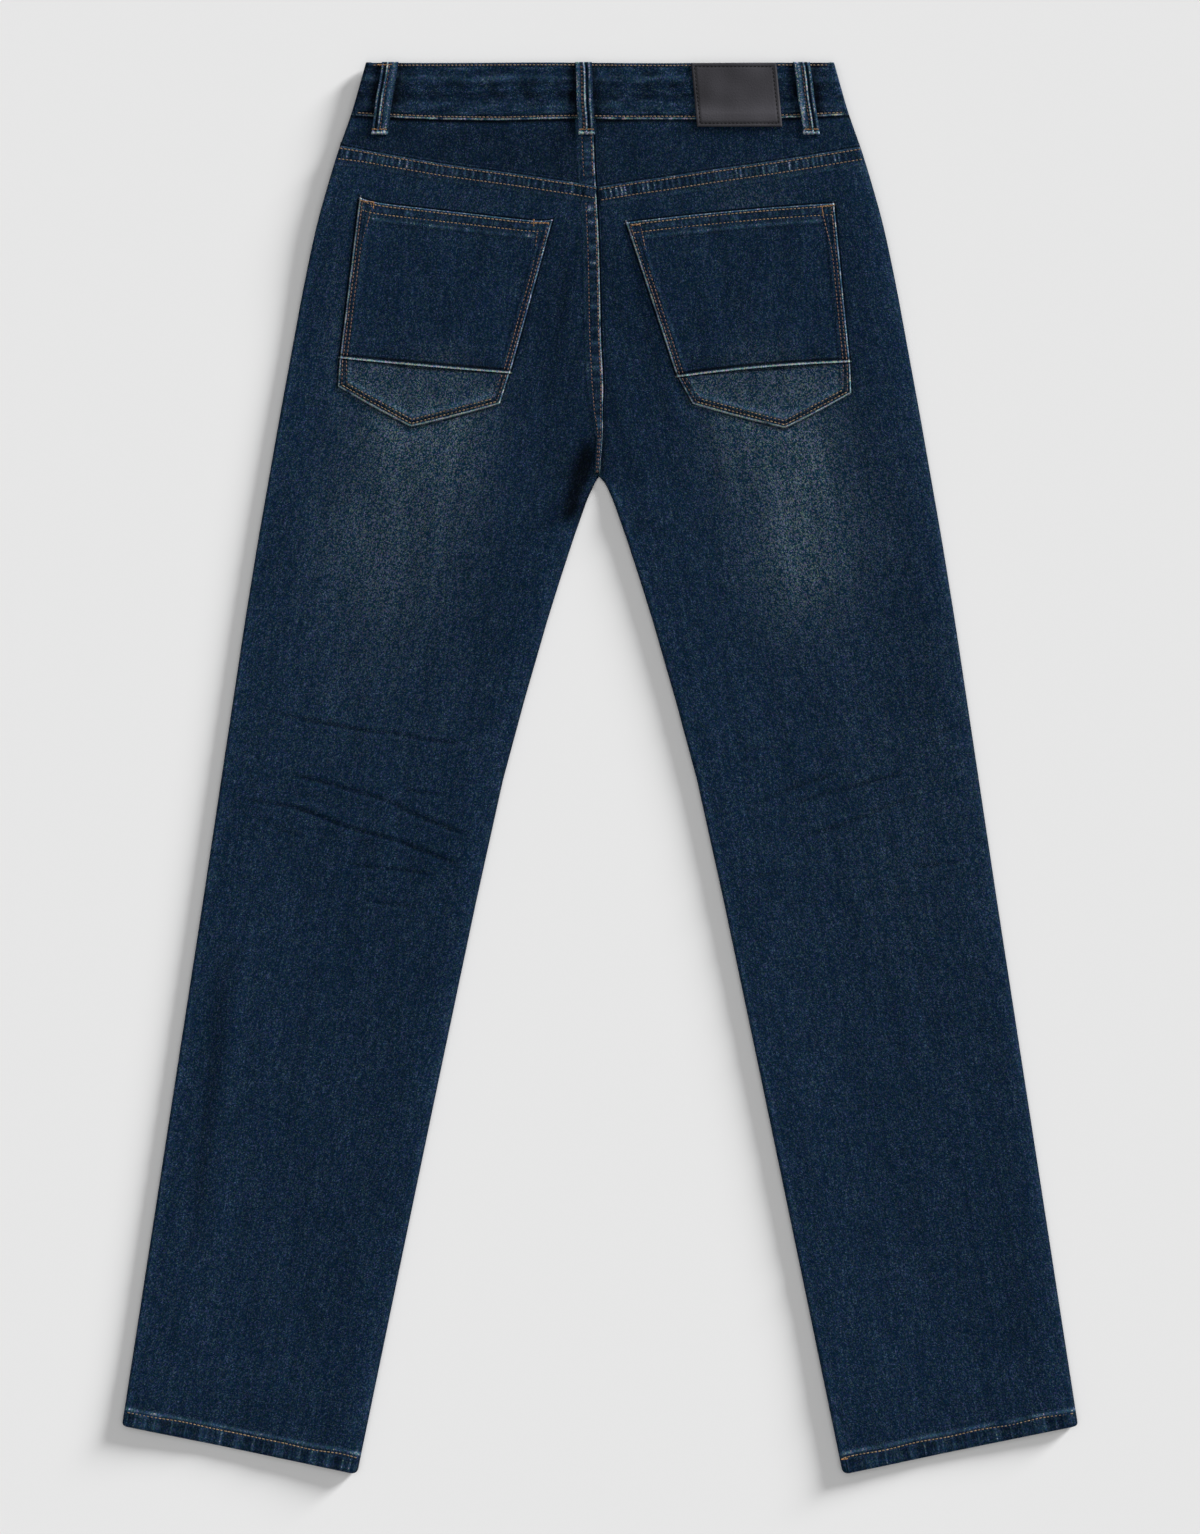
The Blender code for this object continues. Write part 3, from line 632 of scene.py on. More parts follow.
def leg_drops(shares):
    """Drops of the inside leg seam and of the side seam at shares of the way from the crotch to the hem."""
    inner = mix(CROTCH_DROP, LENGTH + HEM_REACH, shares)
    return inner, mix(CROTCH_DROP, HEM_OUTER_DROP + HEM_REACH, shares)


def leg_ends(shares):
    """Inner and outer ends (half, drop) of the rows of a leg, rounded at the corners of the hem."""
    inner_drop, outer_drop = leg_drops(shares)
    rounding = HEM_CORNER * (1 - quarter_round((1 - shares) * LEG_DROP / HEM_CORNER)) * 0.9
    inner = pairs(inner_half(inner_drop) + rounding, inner_drop)
    return inner, pairs(side_half(outer_drop) - rounding, outer_drop)


def hem_masks(skin, shares, seed):
    """The turned hem: its lift, the groove of its stitches with painted shade by it, the worn line just above
    them, a darker line above that, and darker turned cloth.
    """
    rise_of_edge = np.maximum((1 - shares) * LEG_DROP, 0)[:, None]
    x = skin[..., 0]
    above = rise_of_edge - HEM_TURN + 0.7 * ripples(x, 0 * x, 26, seed) * bell(rise_of_edge - 11, 6)
    uneven = 0.75 + 0.35 * ripples(x, 0 * x, 9, seed + 1)
    ends = np.clip(np.abs(x) - 200, 0, 160)
    corner = 1 + 0.6 * bell(ends, 14) + 0.6 * bell(160 - ends, 10)
    turned = fall(-0.9, 0.9, above)
    lift = HEM_RISE * turned - 0.22 * bell(above, 0.7) + 0.25 * bell(above - 2.6, 1.3)
    lift -= 0.9 * fall(0, 1.3, rise_of_edge) * turned
    wear = marks(above, (2.9, 1.7, 0.26)) * uneven * corner
    # Painted shade by the stitch groove; darker above the worn line and on the turned cloth
    shade = marks(above, (5.6, 1.6, 0.16), (0.9, 0.6, 0.30)) + 0.16 * turned
    return lift, wear, shade


def edge_masks(x, drop):
    """The rolled edges of the legs, a little worn and uneven.

    Painted shade on the rims that face the key light, and painted light inside them
    and on the edges that face away.
    """
    side = np.sign(x)
    half = np.abs(x)
    from_side = side_half(drop) - half
    from_inner = np.where(drop > CROTCH_DROP + 8, half - inner_half(drop), 99)
    right = np.where(side > 0, from_side, from_inner)
    left = np.where(side > 0, from_inner, from_side)
    rough = 1 + 0.6 * ripples(x * 0.2, drop, 7, 31)
    wear = 0.03 * bell(np.minimum(left, right) - 2.5, 3.0) * rough
    # Painted shade on the rims that face the key light; painted light inside them and on the edges that face
    # away
    shade = 0.55 * bell(right, 2.0) - 0.10 * bell(right - 6, 5) - 0.10 * bell(right - 12, 11)
    shade -= 0.42 * bell(left - 2.0, 1.8) + 0.12 * bell(left - 5.5, 3.5)
    return np.maximum(wear, 0), shade


def back_shade(x, drop):
    """Painted shade in the crotch fold, beside the centre seam's fold and in the creases.

    Darker cloth between the pockets and in faint streaks, and painted light beside the pockets.
    """
    corner = line_distance(x, drop, CROTCH_LINE)[0]
    shade = (0.86 * bell(corner, 7) + 0.22 * bell(corner, 20)) * between(drop, 290, 322, 350, 388)
    shade -= 0.12 * bell(x - 17, 8) * bell(drop - 308, 22)
    shade += 0.08 * bell(x - 10, 12) * bell(drop - 335, 30)
    seat = 0.14 * bell(x + 36, 44) + 0.05 * bell(x - 30, 36)
    shade = shade + between(drop, 100, 150, 330, 380) * seat
    for line, reach, amount in LEG_LINES:
        shade = shade + amount * bell(line_distance(x, drop, line)[0], reach)
    # Painted shadow beside the centre seam's fold
    beside_seam = bell(x - fold_x(drop) - 1.6, 1.8) * ease(96, 110, drop) * (drop < CROTCH_DROP)
    sides = bell(side_half(drop) - np.abs(x), 26) * fall(300, 400, drop)
    streaks = 0.05 * ripples(x - 0.2 * drop * np.sign(x), drop, 9, 41, 14)
    shade = shade + 0.50 * beside_seam - 0.06 * sides + streaks
    # Painted shade in the creases' troughs; painted light and shadow beside the pockets
    return shade + 0.60 * crease_fields(x, drop)[1] + beside_pockets(x, drop)


def beside_pockets(x, drop):
    """Painted light beside the pockets' edges that face left, against the shadow that the low key light casts
    there, and a painted shadow line by the edges that face right.
    """
    total = np.zeros(np.shape(x))
    low = ease(236, 262, drop)
    for pocket in POCKETS:
        edges = [
            (pocket.outer_top, pocket.outer_toe, pocket.outer_foot, pocket.point),
            (pocket.inner_top, pocket.inner_toe, pocket.inner_foot, pocket.point),
        ]
        faces_left, faces_right = edges[:: -pocket.side]
        away = -line_distance(x, drop, faces_left)[0]
        # Painted light against the cast shadow
        pale = mix(0.26, 0.42, low) * bell(away - 3.8, 3.0) + 0.12 * low * bell(away - 9, 4)
        total -= (away > 0) * pale
        # Painted shadow line
        away = line_distance(x, drop, faces_right)[0]
        total += (away > 0) * 0.30 * bell(away - 1.8, 1.3)
    return total


def lap_edge(name, tuck):
    """A yoke's lap edge, moved down by tuck: distances from the centre line, and drops."""
    lap = np.array(YOKE_LAPS[name], float)
    order = np.argsort(np.abs(lap[:, 0]))
    return np.abs(lap[order, 0]), lap[order, 1] + tuck


def lap_bow(skin, lap_half, lap_drop):
    """How far a lap edge runs below the straight line between its ends, at the columns of a grid."""
    half = np.abs(skin[0, :, 0])
    straight = mix(lap_drop[0], lap_drop[-1], np.clip(half / lap_half[-1], 0, 1))
    return np.interp(half, lap_half, lap_drop) - straight


def centre_edge(side, drop):
    """Edge of a back panel or a yoke at the centre seam, as (half, drop)."""
    return pairs(side * (fold_x(drop) - CENTRE_SEAM_INSET) + CENTRE_GAP, drop)


def make_back_legs(denim):
    shares = np.linspace(0, 1, 60)
    first = len(shares)
    low_shares = leg_rows(1.2, 4.5)
    for side, name in SIDES:
        lap_half, lap_drop = lap_edge(name, BACK_TUCK)
        leg_inner, leg_outer = leg_ends(low_shares)
        meets = side * (fold_x(CROTCH_DROP) - CENTRE_SEAM_INSET)
        meets = meets * fall(CROTCH_DROP, CROTCH_DROP + 8, leg_inner[:, 1])
        leg_inner[:, 0] = np.maximum(leg_inner[:, 0], CENTRE_GAP) + meets
        outer_drop = mix(lap_drop[-1], CROTCH_DROP, shares)
        inner = np.concatenate([centre_edge(side, mix(lap_drop[0], CROTCH_DROP, shares)), leg_inner])
        outer = np.concatenate([pairs(side_half(outer_drop), outer_drop), leg_outer])
        roll_inner = ease(CROTCH_DROP - 1, CROTCH_DROP + 9, inner[:, 1])
        skin, lining = panel_grid(side, inner, outer, roll_inner, np.ones(len(inner)), back_height, 1)
        bow = fall(0, 0.4, shares)[:, None] * lap_bow(skin, lap_half, lap_drop)[None, :]
        skin[:first, :, 1] -= bow
        lining[:first, :, 1] -= bow
        lift, hem_wear, hem_shade = hem_masks(skin[first:], low_shares, 50 + side)
        skin[first:, :, 2] += lift
        x, drop = places_of(skin)
        wear, shade = edge_masks(x, drop)
        shade = shade + back_shade(x, drop)
        wear[first:] += hem_wear
        shade[first:] += hem_shade
        shade = np.clip(shade, *SHADE_LIMITS)
        make_sheet("back_leg_" + name, skin, lining, denim, (300, 1070), ["front_leg_" + name],
                   wear=wear, shade=shade, fade=fade_at(x, drop))


def make_yokes(denim):
    shares = np.linspace(0, 1, 48)
    for side, name in SIDES:
        lap_half, lap_drop = lap_edge(name, YOKE_TUCK)
        outer_drop = mix(BAND_HEIGHT - 2.0, lap_drop[-1], shares)
        inner = centre_edge(side, mix(BAND_HEIGHT - 2.0, lap_drop[0], shares))
        outer = pairs(side_half(outer_drop), outer_drop)
        skin, lining = panel_grid(side, inner, outer, 0 * shares, 0 * shares + 1, back_height, 1, 2.5)
        bow = shares[:, None] * lap_bow(skin, lap_half, lap_drop)[None, :]
        skin[..., 1] -= bow
        lining[..., 1] -= bow
        x, drop = places_of(skin)
        above_lap = np.interp(np.abs(x), lap_half, lap_drop) - YOKE_TUCK - drop
        below_band = drop - band_edge(x)
        # Painted shadow below the waistband's edge, beside the belt loops' lower ends and below the patch;
        # darker just above the lap edge, partly indigo and partly painted shade; each yoke darker overall
        shade = 0.30 * bell(above_lap - 1, 2.4) + 0.70 * bell(below_band - 0.9, 1.4)
        shade += (0.26 if side < 0 else 0.10) + 0.10 * bell(x + 12, 30) + 0.05 * ripples(x, drop, 8, 43, 3)
        shade += 0.30 * bell(x - 4, 18) * bell(drop - 50, 6) - 0.16 * bell(below_band - 5, 3.0)
        for middle, _ in BACK_LOOPS.values():
            shade += 0.25 * bell(np.abs(x - middle) - 9, 5) * fall(52, 64, drop)
        shade += 0.3 * bell(x - 108, 38) * bell(drop - 54, 5) * (side > 0)
        wear, edge_shade = edge_masks(x, drop)
        shade = np.clip(shade + edge_shade, *SHADE_LIMITS)
        make_sheet("yoke_" + name, skin, lining, denim, (214, 60), ["front_leg_" + name],
                   wear=wear, shade=shade)


# Waistband: x and drop along the back's lower edge, steps down it, and a slanting crease by the middle loop
BAND_LOW_EDGE = (
    (-200, -165, -125, -80, -20, 20, 70, 130, 165, 200),
    (43.4, 45.2, 46.8, 47.3, 45.8, 46.6, 46.6, 46.2, 44.8, 43.2),
)
BAND_STOPS = ((0, 0.35), (1.6, 0.8), (6, 1.6), (36, 1.2), (39, 0.6), (BAND_HEIGHT, 1))
BAND_DIAGONAL = ((-1.6, 6.4), (14.4, 28))


def band_edge(x):
    """Drop of the back waistband's lower edge, which sags a little between the loops."""
    return np.interp(x, *BAND_LOW_EDGE)


def band_back_height(half):
    """Height of the back of the waistband, a little fuller where it turns to the front."""
    away = np.maximum(side_half(BAND_HEIGHT / 2) - half, 0.0)
    return BAND_TOP + BAND_SIDE_RISE * bell(away, EDGE_PUFF_REACH)


def band_top_edge(x):
    """Drop of the back waistband's upper edge, hardly wavy."""
    return 0.35 + 0.3 * np.sin(x / 31.0) * bell(x, 160)


def band_surface(x, drop):
    """Outer face of the back of the waistband, its rows of stitching drawn in and the cloth full between."""
    low = band_edge(x) - drop
    high = drop - band_top_edge(x)
    rise = 0.35 * np.sin(np.clip(high / np.maximum(band_edge(x), 1), 0, 1) * math.pi) - 0.15
    rise += marks(high, (14, 4, 0.22), (BAND_TOP_ROW, 0.7, -0.25))
    rise += marks(low, (8, 4, 0.25), (BAND_LOW_ROW, 0.8, -0.25))
    rise += 0.07 * ripples(x, drop, 7, 61, 0.6) + 0.12 * ripples(x, drop, 24, 62, 0.5)
    rise -= 0.9 * fall(0, 1.5, high) + 0.5 * fall(0, 0.9, low)
    for middle, _ in BACK_LOOPS.values():
        rise -= 0.30 * bell(np.abs(x - middle) - 10, 3.5)
    return band_back_height(np.abs(x)) + rise


def make_waistband(denim):
    """One strip from the buttonhole end round the wearer's left, the back and the right to the button end."""
    radius = (BAND_TOP + BAND_SIDE_RISE - BAND_UNDER) / 2
    middle_height = BAND_UNDER + radius
    turns = np.radians(np.linspace(-90, 90, 13))
    skin, lining, wears, shades = [], [], [], []
    for base in uneven_steps(BAND_STOPS):
        turn_half = side_half(base) - radius
        rounded = 0.9 * fall(0, 1.5, base) + 0.5 * fall(0, 1.0, BAND_HEIGHT - base)
        left_front = np.linspace(BAND_END, -turn_half, 60)[:-1]
        right_front = np.linspace(turn_half, BAND_END + LAYER_GAP, 56)[1:]
        back = np.linspace(-1, 1, 172)[1:-1] * turn_half
        drop = mix(band_top_edge(back), band_edge(back), base / BAND_HEIGHT)
        high = middle_height + radius * np.sin(turns) - rounded * np.clip(np.sin(turns), 0, 1)
        outward = radius * np.cos(turns)
        face = np.concatenate([
            to_points(left_front, base + front_dip(left_front), BAND_UNDER),
            to_points(-turn_half - outward, base, high),
            to_points(back, drop, band_surface(back, drop)),
            to_points(turn_half + outward[::-1], base, high[::-1]),
            to_points(right_front, base + front_dip(right_front), BAND_UNDER),
        ])
        angle = np.concatenate([
            0 * left_front - math.pi / 2, math.pi - turns, 0 * back + math.pi / 2, turns[::-1],
            0 * right_front - math.pi / 2,
        ])
        normal = np.stack([np.cos(angle), 0 * angle, np.sin(angle)], axis=1)
        wear, shade = band_masks(*places_of(face), face[:, 2] > middle_height)
        for rows, row in ((skin, face), (lining, face - normal * BAND_WALL), (wears, wear), (shades, shade)):
            rows.append(row)
    make_sheet("waistband", np.array(skin), np.array(lining), denim, (830, 44),
               ["front_leg_left", "front_leg_right"], wear=np.array(wears), shade=np.array(shades))


def band_masks(x, drop, on_back):
    """Wear and shade of the waistband: its worn edges, painted highlights and painted shade along its soft
    lengthwise folds and rows of stitching, and painted shadow beside its loops.
    """
    low = band_edge(x) - drop
    high = drop - band_top_edge(x)
    uneven = np.clip(0.6 + 0.6 * ripples(x, drop, 12, 63, 0.4), 0, 1.6)
    edge = 0.85 + 0.3 * ripples(x, 0 * x, 6, 64)
    # Pale lines along the soft folds and beside the rows of stitching are painted highlights; the line at the
    # lower edge is worn
    wear = marks(high, (12.8, 2.4, 0.14), (4.8, 0.9, 0.14)) + marks(low, (10.5, 3.0, 0.08), (5.0, 0.9, 0.12))
    wear = uneven * wear + edge * marks(low, (0.8, 0.6, 0.92)) + 0.10 * bell(high - 0.3, 0.5)
    wear += 0.12 * bell(line_distance(x, drop, BAND_DIAGONAL)[0], 1.0)
    # Painted shade between the soft folds and in the stitch grooves, and random darker patches
    shade = 0.06 + marks(high, (17.6, 2.2, 0.20), (26.4, 3.4, 0.28), (3.3, 0.7, 0.35), (0.9, 0.5, 0.30))
    shade += marks(low, (3.9, 0.7, 0.30), (1.7, 0.4, 0.30))
    shade += 0.17 * ripples(x, drop, 12, 65, 0.35) + 0.08 * ripples(x, drop, 5, 66)
    # Painted shadow beside the loops
    for middle, end in BACK_LOOPS.values():
        beside = np.abs(x - mix(middle, end, drop / LOOP_LENGTH))
        shade += 0.40 * bell(beside - 9.5, 4.2) + 0.40 * bell(beside - 7.4, 1.6)
    return np.clip(wear * on_back, 0, 1), np.clip(shade * on_back, *SHADE_LIMITS)


# Marks across a belt loop, in mm from its middle, each (place, half width, amount): its wear, its painted
# shade in its grooves and beside it, and its rise; then the places of its rows of stitching
LoopMarks = namedtuple("LoopMarks", "wear shade rise stitches")
LOOP_MARKS = {
    "left": LoopMarks(
        wear=((-5.9, 0.7, 0.36), (-1.9, 0.6, 0.62), (2.4, 1.5, 0.13), (4.2, 1.3, 0.24)),
        shade=((-3.9, 0.9, 0.8), (-0.3, 0.8, 0.30), (6.5, 0.5, 0.5)),
        rise=((-5.6, 1.0, 0.10), (-3.9, 0.9, -0.45), (-1.9, 0.9, 0.45), (-0.3, 0.6, -0.15), (3.0, 2.2, 0.20)),
        stitches=(-0.3,),
    ),
    "centre": LoopMarks(
        wear=((-6.1, 0.7, 0.30), (-4.6, 1.5, 0.17), (0.0, 0.6, 0.70), (4.2, 0.8, 0.36)),
        shade=((-2.3, 0.9, 0.35), (1.8, 0.8, 0.85), (-7.0, 0.4, 0.4), (6.6, 0.6, 0.6)),
        rise=((-4.8, 1.6, 0.20), (-2.3, 0.6, -0.15), (0.0, 0.9, 0.45), (1.8, 0.8, -0.5), (4.2, 1.2, 0.15)),
        stitches=(-2.4, -1.5),
    ),
    "right": LoopMarks(
        wear=((-5.4, 1.0, 0.34), (-3.2, 1.7, 0.26), (1.4, 0.6, 0.66), (5.2, 0.8, 0.30)),
        shade=((-0.5, 0.9, 0.35), (3.0, 0.9, 0.85), (-7.0, 0.4, 0.4)),
        rise=((-4.2, 1.8, 0.25), (-0.5, 0.6, -0.15), (1.4, 0.9, 0.45), (3.0, 0.9, -0.5), (5.2, 1.0, 0.12)),
        stitches=(-0.5,),
    ),
}


def loop_middle(ends, share):
    return mix(ends[0], ends[1], share) + 0.25 * np.sin(share * 9)


def cover_top(x, drop):
    """What the loops and the patch lie on: the waistband, then a slope down to the yoke."""
    x, drop = as_places(x, drop)
    band = band_back_height(np.abs(x))
    yoke = back_height(x, drop)
    share = np.clip((drop - BAND_HEIGHT) / STEP_RUN, 0, 1)
    return np.where(share > 0, np.maximum(mix(band, yoke, share), yoke), band)


def cover_under(x, drop):
    """What the front loops lie under: the front of the waistband, then a slope to the front legs."""
    x, drop = as_places(x, drop)
    edge = BAND_HEIGHT + front_dip(x)
    return mix(BAND_UNDER, front_under(drop), np.clip((drop - edge) / STEP_RUN, 0, 1))


LOOP_STOPS = ((0, 0.4), (2.4, 1.2), (53, 0.5), (LOOP_LENGTH, 1))


def make_loop(name, ends, profile, support, up, first_drop, denim):
    """A belt loop: a folded strip that stands a little off the band between its two tacked ends."""
    half_width = LOOP_WIDTH / 2
    rim_places = np.array((-half_width, -half_width + 0.2))
    across = np.concatenate([rim_places, np.arange(-6.2, 6.3, 0.4), -rim_places[::-1]])
    down = uneven_steps(LOOP_STOPS)[:, None]
    shares = down / LOOP_LENGTH
    drop = first_drop + down
    x = loop_middle(ends, shares) + across
    from_end = LOOP_LENGTH - down
    tack = bell(down - 1.5, 1.5) + bell(from_end - LOOP_TACK_RISE, 1.5)
    ends_down = fall(0, 1.0, down) + fall(0, 1.0, from_end)
    rim = 0.5 * fall(0, 0.7, half_width - np.abs(across))
    base = support(x, drop) + up * (LAYER_GAP + LOOP_BULGE * np.sin(math.pi * shares))
    thick = LOOP_THICKNESS + marks(across, *profile.rise) * (1 - 0.6 * tack)
    thick = thick + 0.08 * ripples(x, drop, 4, 71, 1.6) - 0.35 * tack - rim - 0.7 * ends_down
    fold = bell(from_end - 1.3, 1.0)
    rough = 0.90 + 0.22 * ripples(x, drop, 4, 72, 3) + 0.15 * ripples(x, drop, 1.6, 73)
    wear = 1.25 * marks(across, *profile.wear) * rough * (1 - fold) + 0.85 * fold * rough + 0.25 * ends_down
    # Painted shade in the loop's grooves, beside it and by its lower tack
    shade = marks(across, *profile.shade) * (1 - 0.8 * fold) + 0.35 * bell(from_end - LOOP_TACK_RISE, 1.1)
    skin = to_points(x, drop, base + up * thick)
    make_sheet(name, skin, to_points(x, drop, base), denim, (LOOP_WIDTH, LOOP_LENGTH + 1.5), ["waistband"],
               wear=np.clip(wear, 0, 1), shade=np.clip(shade, *SHADE_LIMITS))


PATCH_SIZE = (68, 51.6)


def make_patch(leather):
    """The leather patch, and the four lines of its stitching."""
    width, height = PATCH_SIZE
    steps = ((0, 0.4), (1.2, 0.8), (6, 1.5))
    down = uneven_steps((*steps, (40, 0.8), (height - 1.2, 0.4), (height, 1))) / height
    steps = ((0, 0.4), (1.2, 0.8), (6, 1.6))
    across = uneven_steps((*steps, (width - 6, 0.8), (width - 1.2, 0.4), (width, 1))) / width
    drop = mix(*PATCH_DROPS, down)[:, None]
    left, right = (mix(top, bottom, down)[:, None] for top, bottom in zip(PATCH_TOP, PATCH_BOTTOM))
    x = mix(left, right, across[None, :])
    from_side = np.minimum(across, 1 - across)[None, :] * width
    from_edge = np.minimum(from_side, np.minimum(down, 1 - down)[:, None] * height)
    rise = PATCH_WALL - 0.45 * fall(0, 1.0, from_edge) - 0.30 * bell(from_edge - PATCH_ROW, 0.8)
    rise = rise + 0.10 * ripples(x, drop, 20, 81) + 0.15 * bell(from_edge - 12, 10)
    base = cover_top(x, drop) + LAYER_GAP
    # Painted highlight: a sheen band above the lower row of stitching and along the lower edge, paler towards
    # the right, with painted shade in the stitch groove and at the rim. It goes into the wear mask.
    sheen = 0.44 + 0.32 * bell(drop - 43, 6) + 0.16 * bell(drop - 42, 12) + 0.20 * (across[None, :] - 0.5)
    sheen = sheen + 0.10 * ripples(x, drop, 12, 82) - 0.5 * bell(from_edge - PATCH_ROW, 0.8)
    sheen += 0.34 * bell(PATCH_DROPS[1] - drop - 0.7, 0.9) - 0.30 * fall(0, 0.8, from_edge)
    make_sheet("leather_patch", to_points(x, drop, base + rise), to_points(x, drop, base), leather,
               (68.5, 52.5), ["waistband", "yoke_right"], "leather", wear=np.clip(sheen, 0, 1))
    corners = []
    for row, column in ((0, 0), (0, -1), (-1, -1), (-1, 0)):
        toward = np.array((1 if column == 0 else -1, 1 if row == 0 else -1)) * PATCH_ROW
        corners.append(np.array((x[row, column], drop[row, 0])) + toward)
    return [np.array(ends) for ends in zip(corners, corners[1:] + corners[:1])]


def pocket_point(pocket, u, v):
    """Place (x, drop) on a pocket above its toe: u across from outer to inner, v down."""
    top_x, top_drop = (mix(a, b, u) for a, b in zip(pocket.outer_top, pocket.inner_top))
    toe_x, toe_drop = (mix(a, b, u) for a, b in zip(pocket.outer_toe, pocket.inner_toe))
    top_drop = top_drop - pocket.mouth * (1 - np.abs(2 * u - 1) ** pocket.power)
    return mix(top_x, toe_x, v), mix(top_drop, toe_drop - 4 * u * (1 - u) * pocket.bow, v)


# Grids of a pocket and its toe: their width and depth, and the steps from an edge, with a skirt beyond
# it: a low flange that carries a painted shadow
POCKET_GRID = (150.0, 126.0)
TOE_GRID = (135.0, 36.0)
TOE_TUCK = 1.6
SHADOW_SKIRT = 1.6
EDGE_STOPS = ((-SHADOW_SKIRT, 0.3), (0, 0.15), (0.3, 0.35), (1.0, 0.6), (10, 1.0), (13, 2.4))


# Grooves of the stitching at a pocket's sides and at its top hem, and where its drawn-up bars are worked out
SIDE_GROOVES = ((2.4, 0.7, 0.26), (5.4, 0.7, 0.26))
HEM_GROOVES = ((2.4, 0.7, 0.26), (9.0, 0.7, 0.26))
BUMP_KNOTS = np.arange(0, 500, 0.4)


def pocket_widths(pocket):
    """Width of a pocket at its mouth and at its toe seam."""
    return math.dist(pocket.outer_top, pocket.inner_top), math.dist(pocket.outer_toe, pocket.inner_toe)


def edged(width):
    """Shares of a width with fine steps near both of its edges, and a narrow skirt beyond them that carries a
    painted shadow.
    """
    near = uneven_steps(EDGE_STOPS)
    middle = np.linspace(near[-1], width - near[-1], max(int((width - 2 * near[-1]) / 2.4), 2) + 1)[1:-1]
    return np.concatenate([near, middle, width - near[::-1]]) / width


def fold_rise(edge, bumps, thick):
    """Height of a turned, twice stitched edge over the layer below, at a distance from the edge."""
    turned = fall(7.4, 9.6, edge)
    body = thick + 0.45 * turned - marks(edge, *SIDE_GROOVES)
    return quarter_round(edge) * body + 0.22 * turned * bumps * bell(edge - 4.6, 1.6)


def make_pocket(pocket, denim):
    """A back pocket above its toe: a patch with turned sides and a turned, twice stitched top hem."""
    side = pocket.side
    width, depth = POCKET_GRID
    down = edged(depth)
    u, v = np.meshgrid(edged(width), down[down <= 1])
    x, drop = pocket_point(pocket, u, v)
    top_width, low_width = pocket_widths(pocket)
    from_side = np.minimum(u, 1 - u) * mix(top_width, low_width, v)
    from_top, from_toe = v * depth, (1 - v) * depth
    side_bumps = np.interp(drop, BUMP_KNOTS, bars(BUMP_KNOTS, 5.0, 90 + side, 0.9))
    top_bumps = np.interp(x + 220, BUMP_KNOTS, bars(BUMP_KNOTS, 5.2, 93 + side, 0.8))
    top_round = quarter_round(from_top)
    hem = 0.55 * fall(10.4, 12.6, from_top) - marks(from_top, *HEM_GROOVES)
    hem = (hem + 0.3 * top_bumps * bell(from_top - 6.0, 2.4)) * ease(0, 1.2, from_side)
    rise = (fold_rise(from_side, side_bumps, 1.15) + hem * (1 - 0.8 * fall(7.4, 9.6, from_side))) * top_round
    rise += (0.12 * ripples(x, drop, 22, 95 + side) + 0.05 * ripples(x, drop, 8, 96 + side)) * top_round
    rise += marks(from_toe, (2.0, 2.0, 0.25), (6.0, 2.0, -0.15))
    base = back_height(x, drop) + 0.1
    below_hem = ease(11.5, 12.5, from_top)
    rough = 0.85 + 0.35 * ripples(x, drop, 5, 98)
    ribbon = np.clip(0.85 + 0.4 * ripples(x, 0 * x, 8, 94 + side), 0.3, 1.4)
    # Worn fold edges; the extra on the side that faces away from the key light is painted light
    wear = mix(0.50, 1.05, (u < 0.5) == (side < 0)) * bell(from_side - 0.6, 0.55) * rough
    wear += 0.12 * bell(from_side - 6.8, 0.9) * side_bumps * below_hem + marks(from_top, (0.6, 0.5, 0.36))
    wear += 0.28 * top_bumps * bell(from_top - 6.0, 2.0) * ease(1, 3, from_side)
    wear += 0.22 * bell(from_top - 12.8, 1.5) * ribbon * ease(8, 12, from_side)
    wear += 1.1 * bell(from_toe - 0.6, 0.7)
    # Painted shade above the toe seam's fold and painted shadow below the hem; darker cloth above the toe
    # seam and in the stitched bands
    shade = marks(from_toe, (3.0, 1.4, 0.85)) + marks(from_top, (15.8, 1.5, 0.32))
    shade += 0.06 * ripples(x, drop, 10, 97, 5) + 0.16 * bell(from_toe - 8, 6) * ease(8, 16, from_side)
    shade -= 0.10 * bell(from_side - 16, 9) * (np.abs(x) > 120)
    shade += 0.24 * between(from_side, 1.2, 2.0, 6.0, 7.4) * below_hem
    shade += 0.20 * between(from_top, 1.4, 3.0, 8.8, 10.2) * (1 - top_bumps)
    nearest = np.minimum(from_side, from_top)
    # Painted shadow on the skirt beyond the edges
    shade += 0.85 * bell(nearest + 0.8, 0.9) * (nearest < 0.2)
    fade = FADE_ON_POCKETS * fade_at(x, drop) * ease(205, 255, drop) * ease(80, 145, np.abs(x))
    skin = to_points(x, drop, base + np.maximum(rise, -0.03))
    make_sheet("back_pocket_" + pocket.name, skin, to_points(x, drop, base - 0.25), denim, (170, 144),
               ["back_leg_" + pocket.name], wear=np.clip(wear, 0, 1), shade=np.clip(shade, *SHADE_LIMITS),
               fade=fade)
    make_toe(pocket, denim)


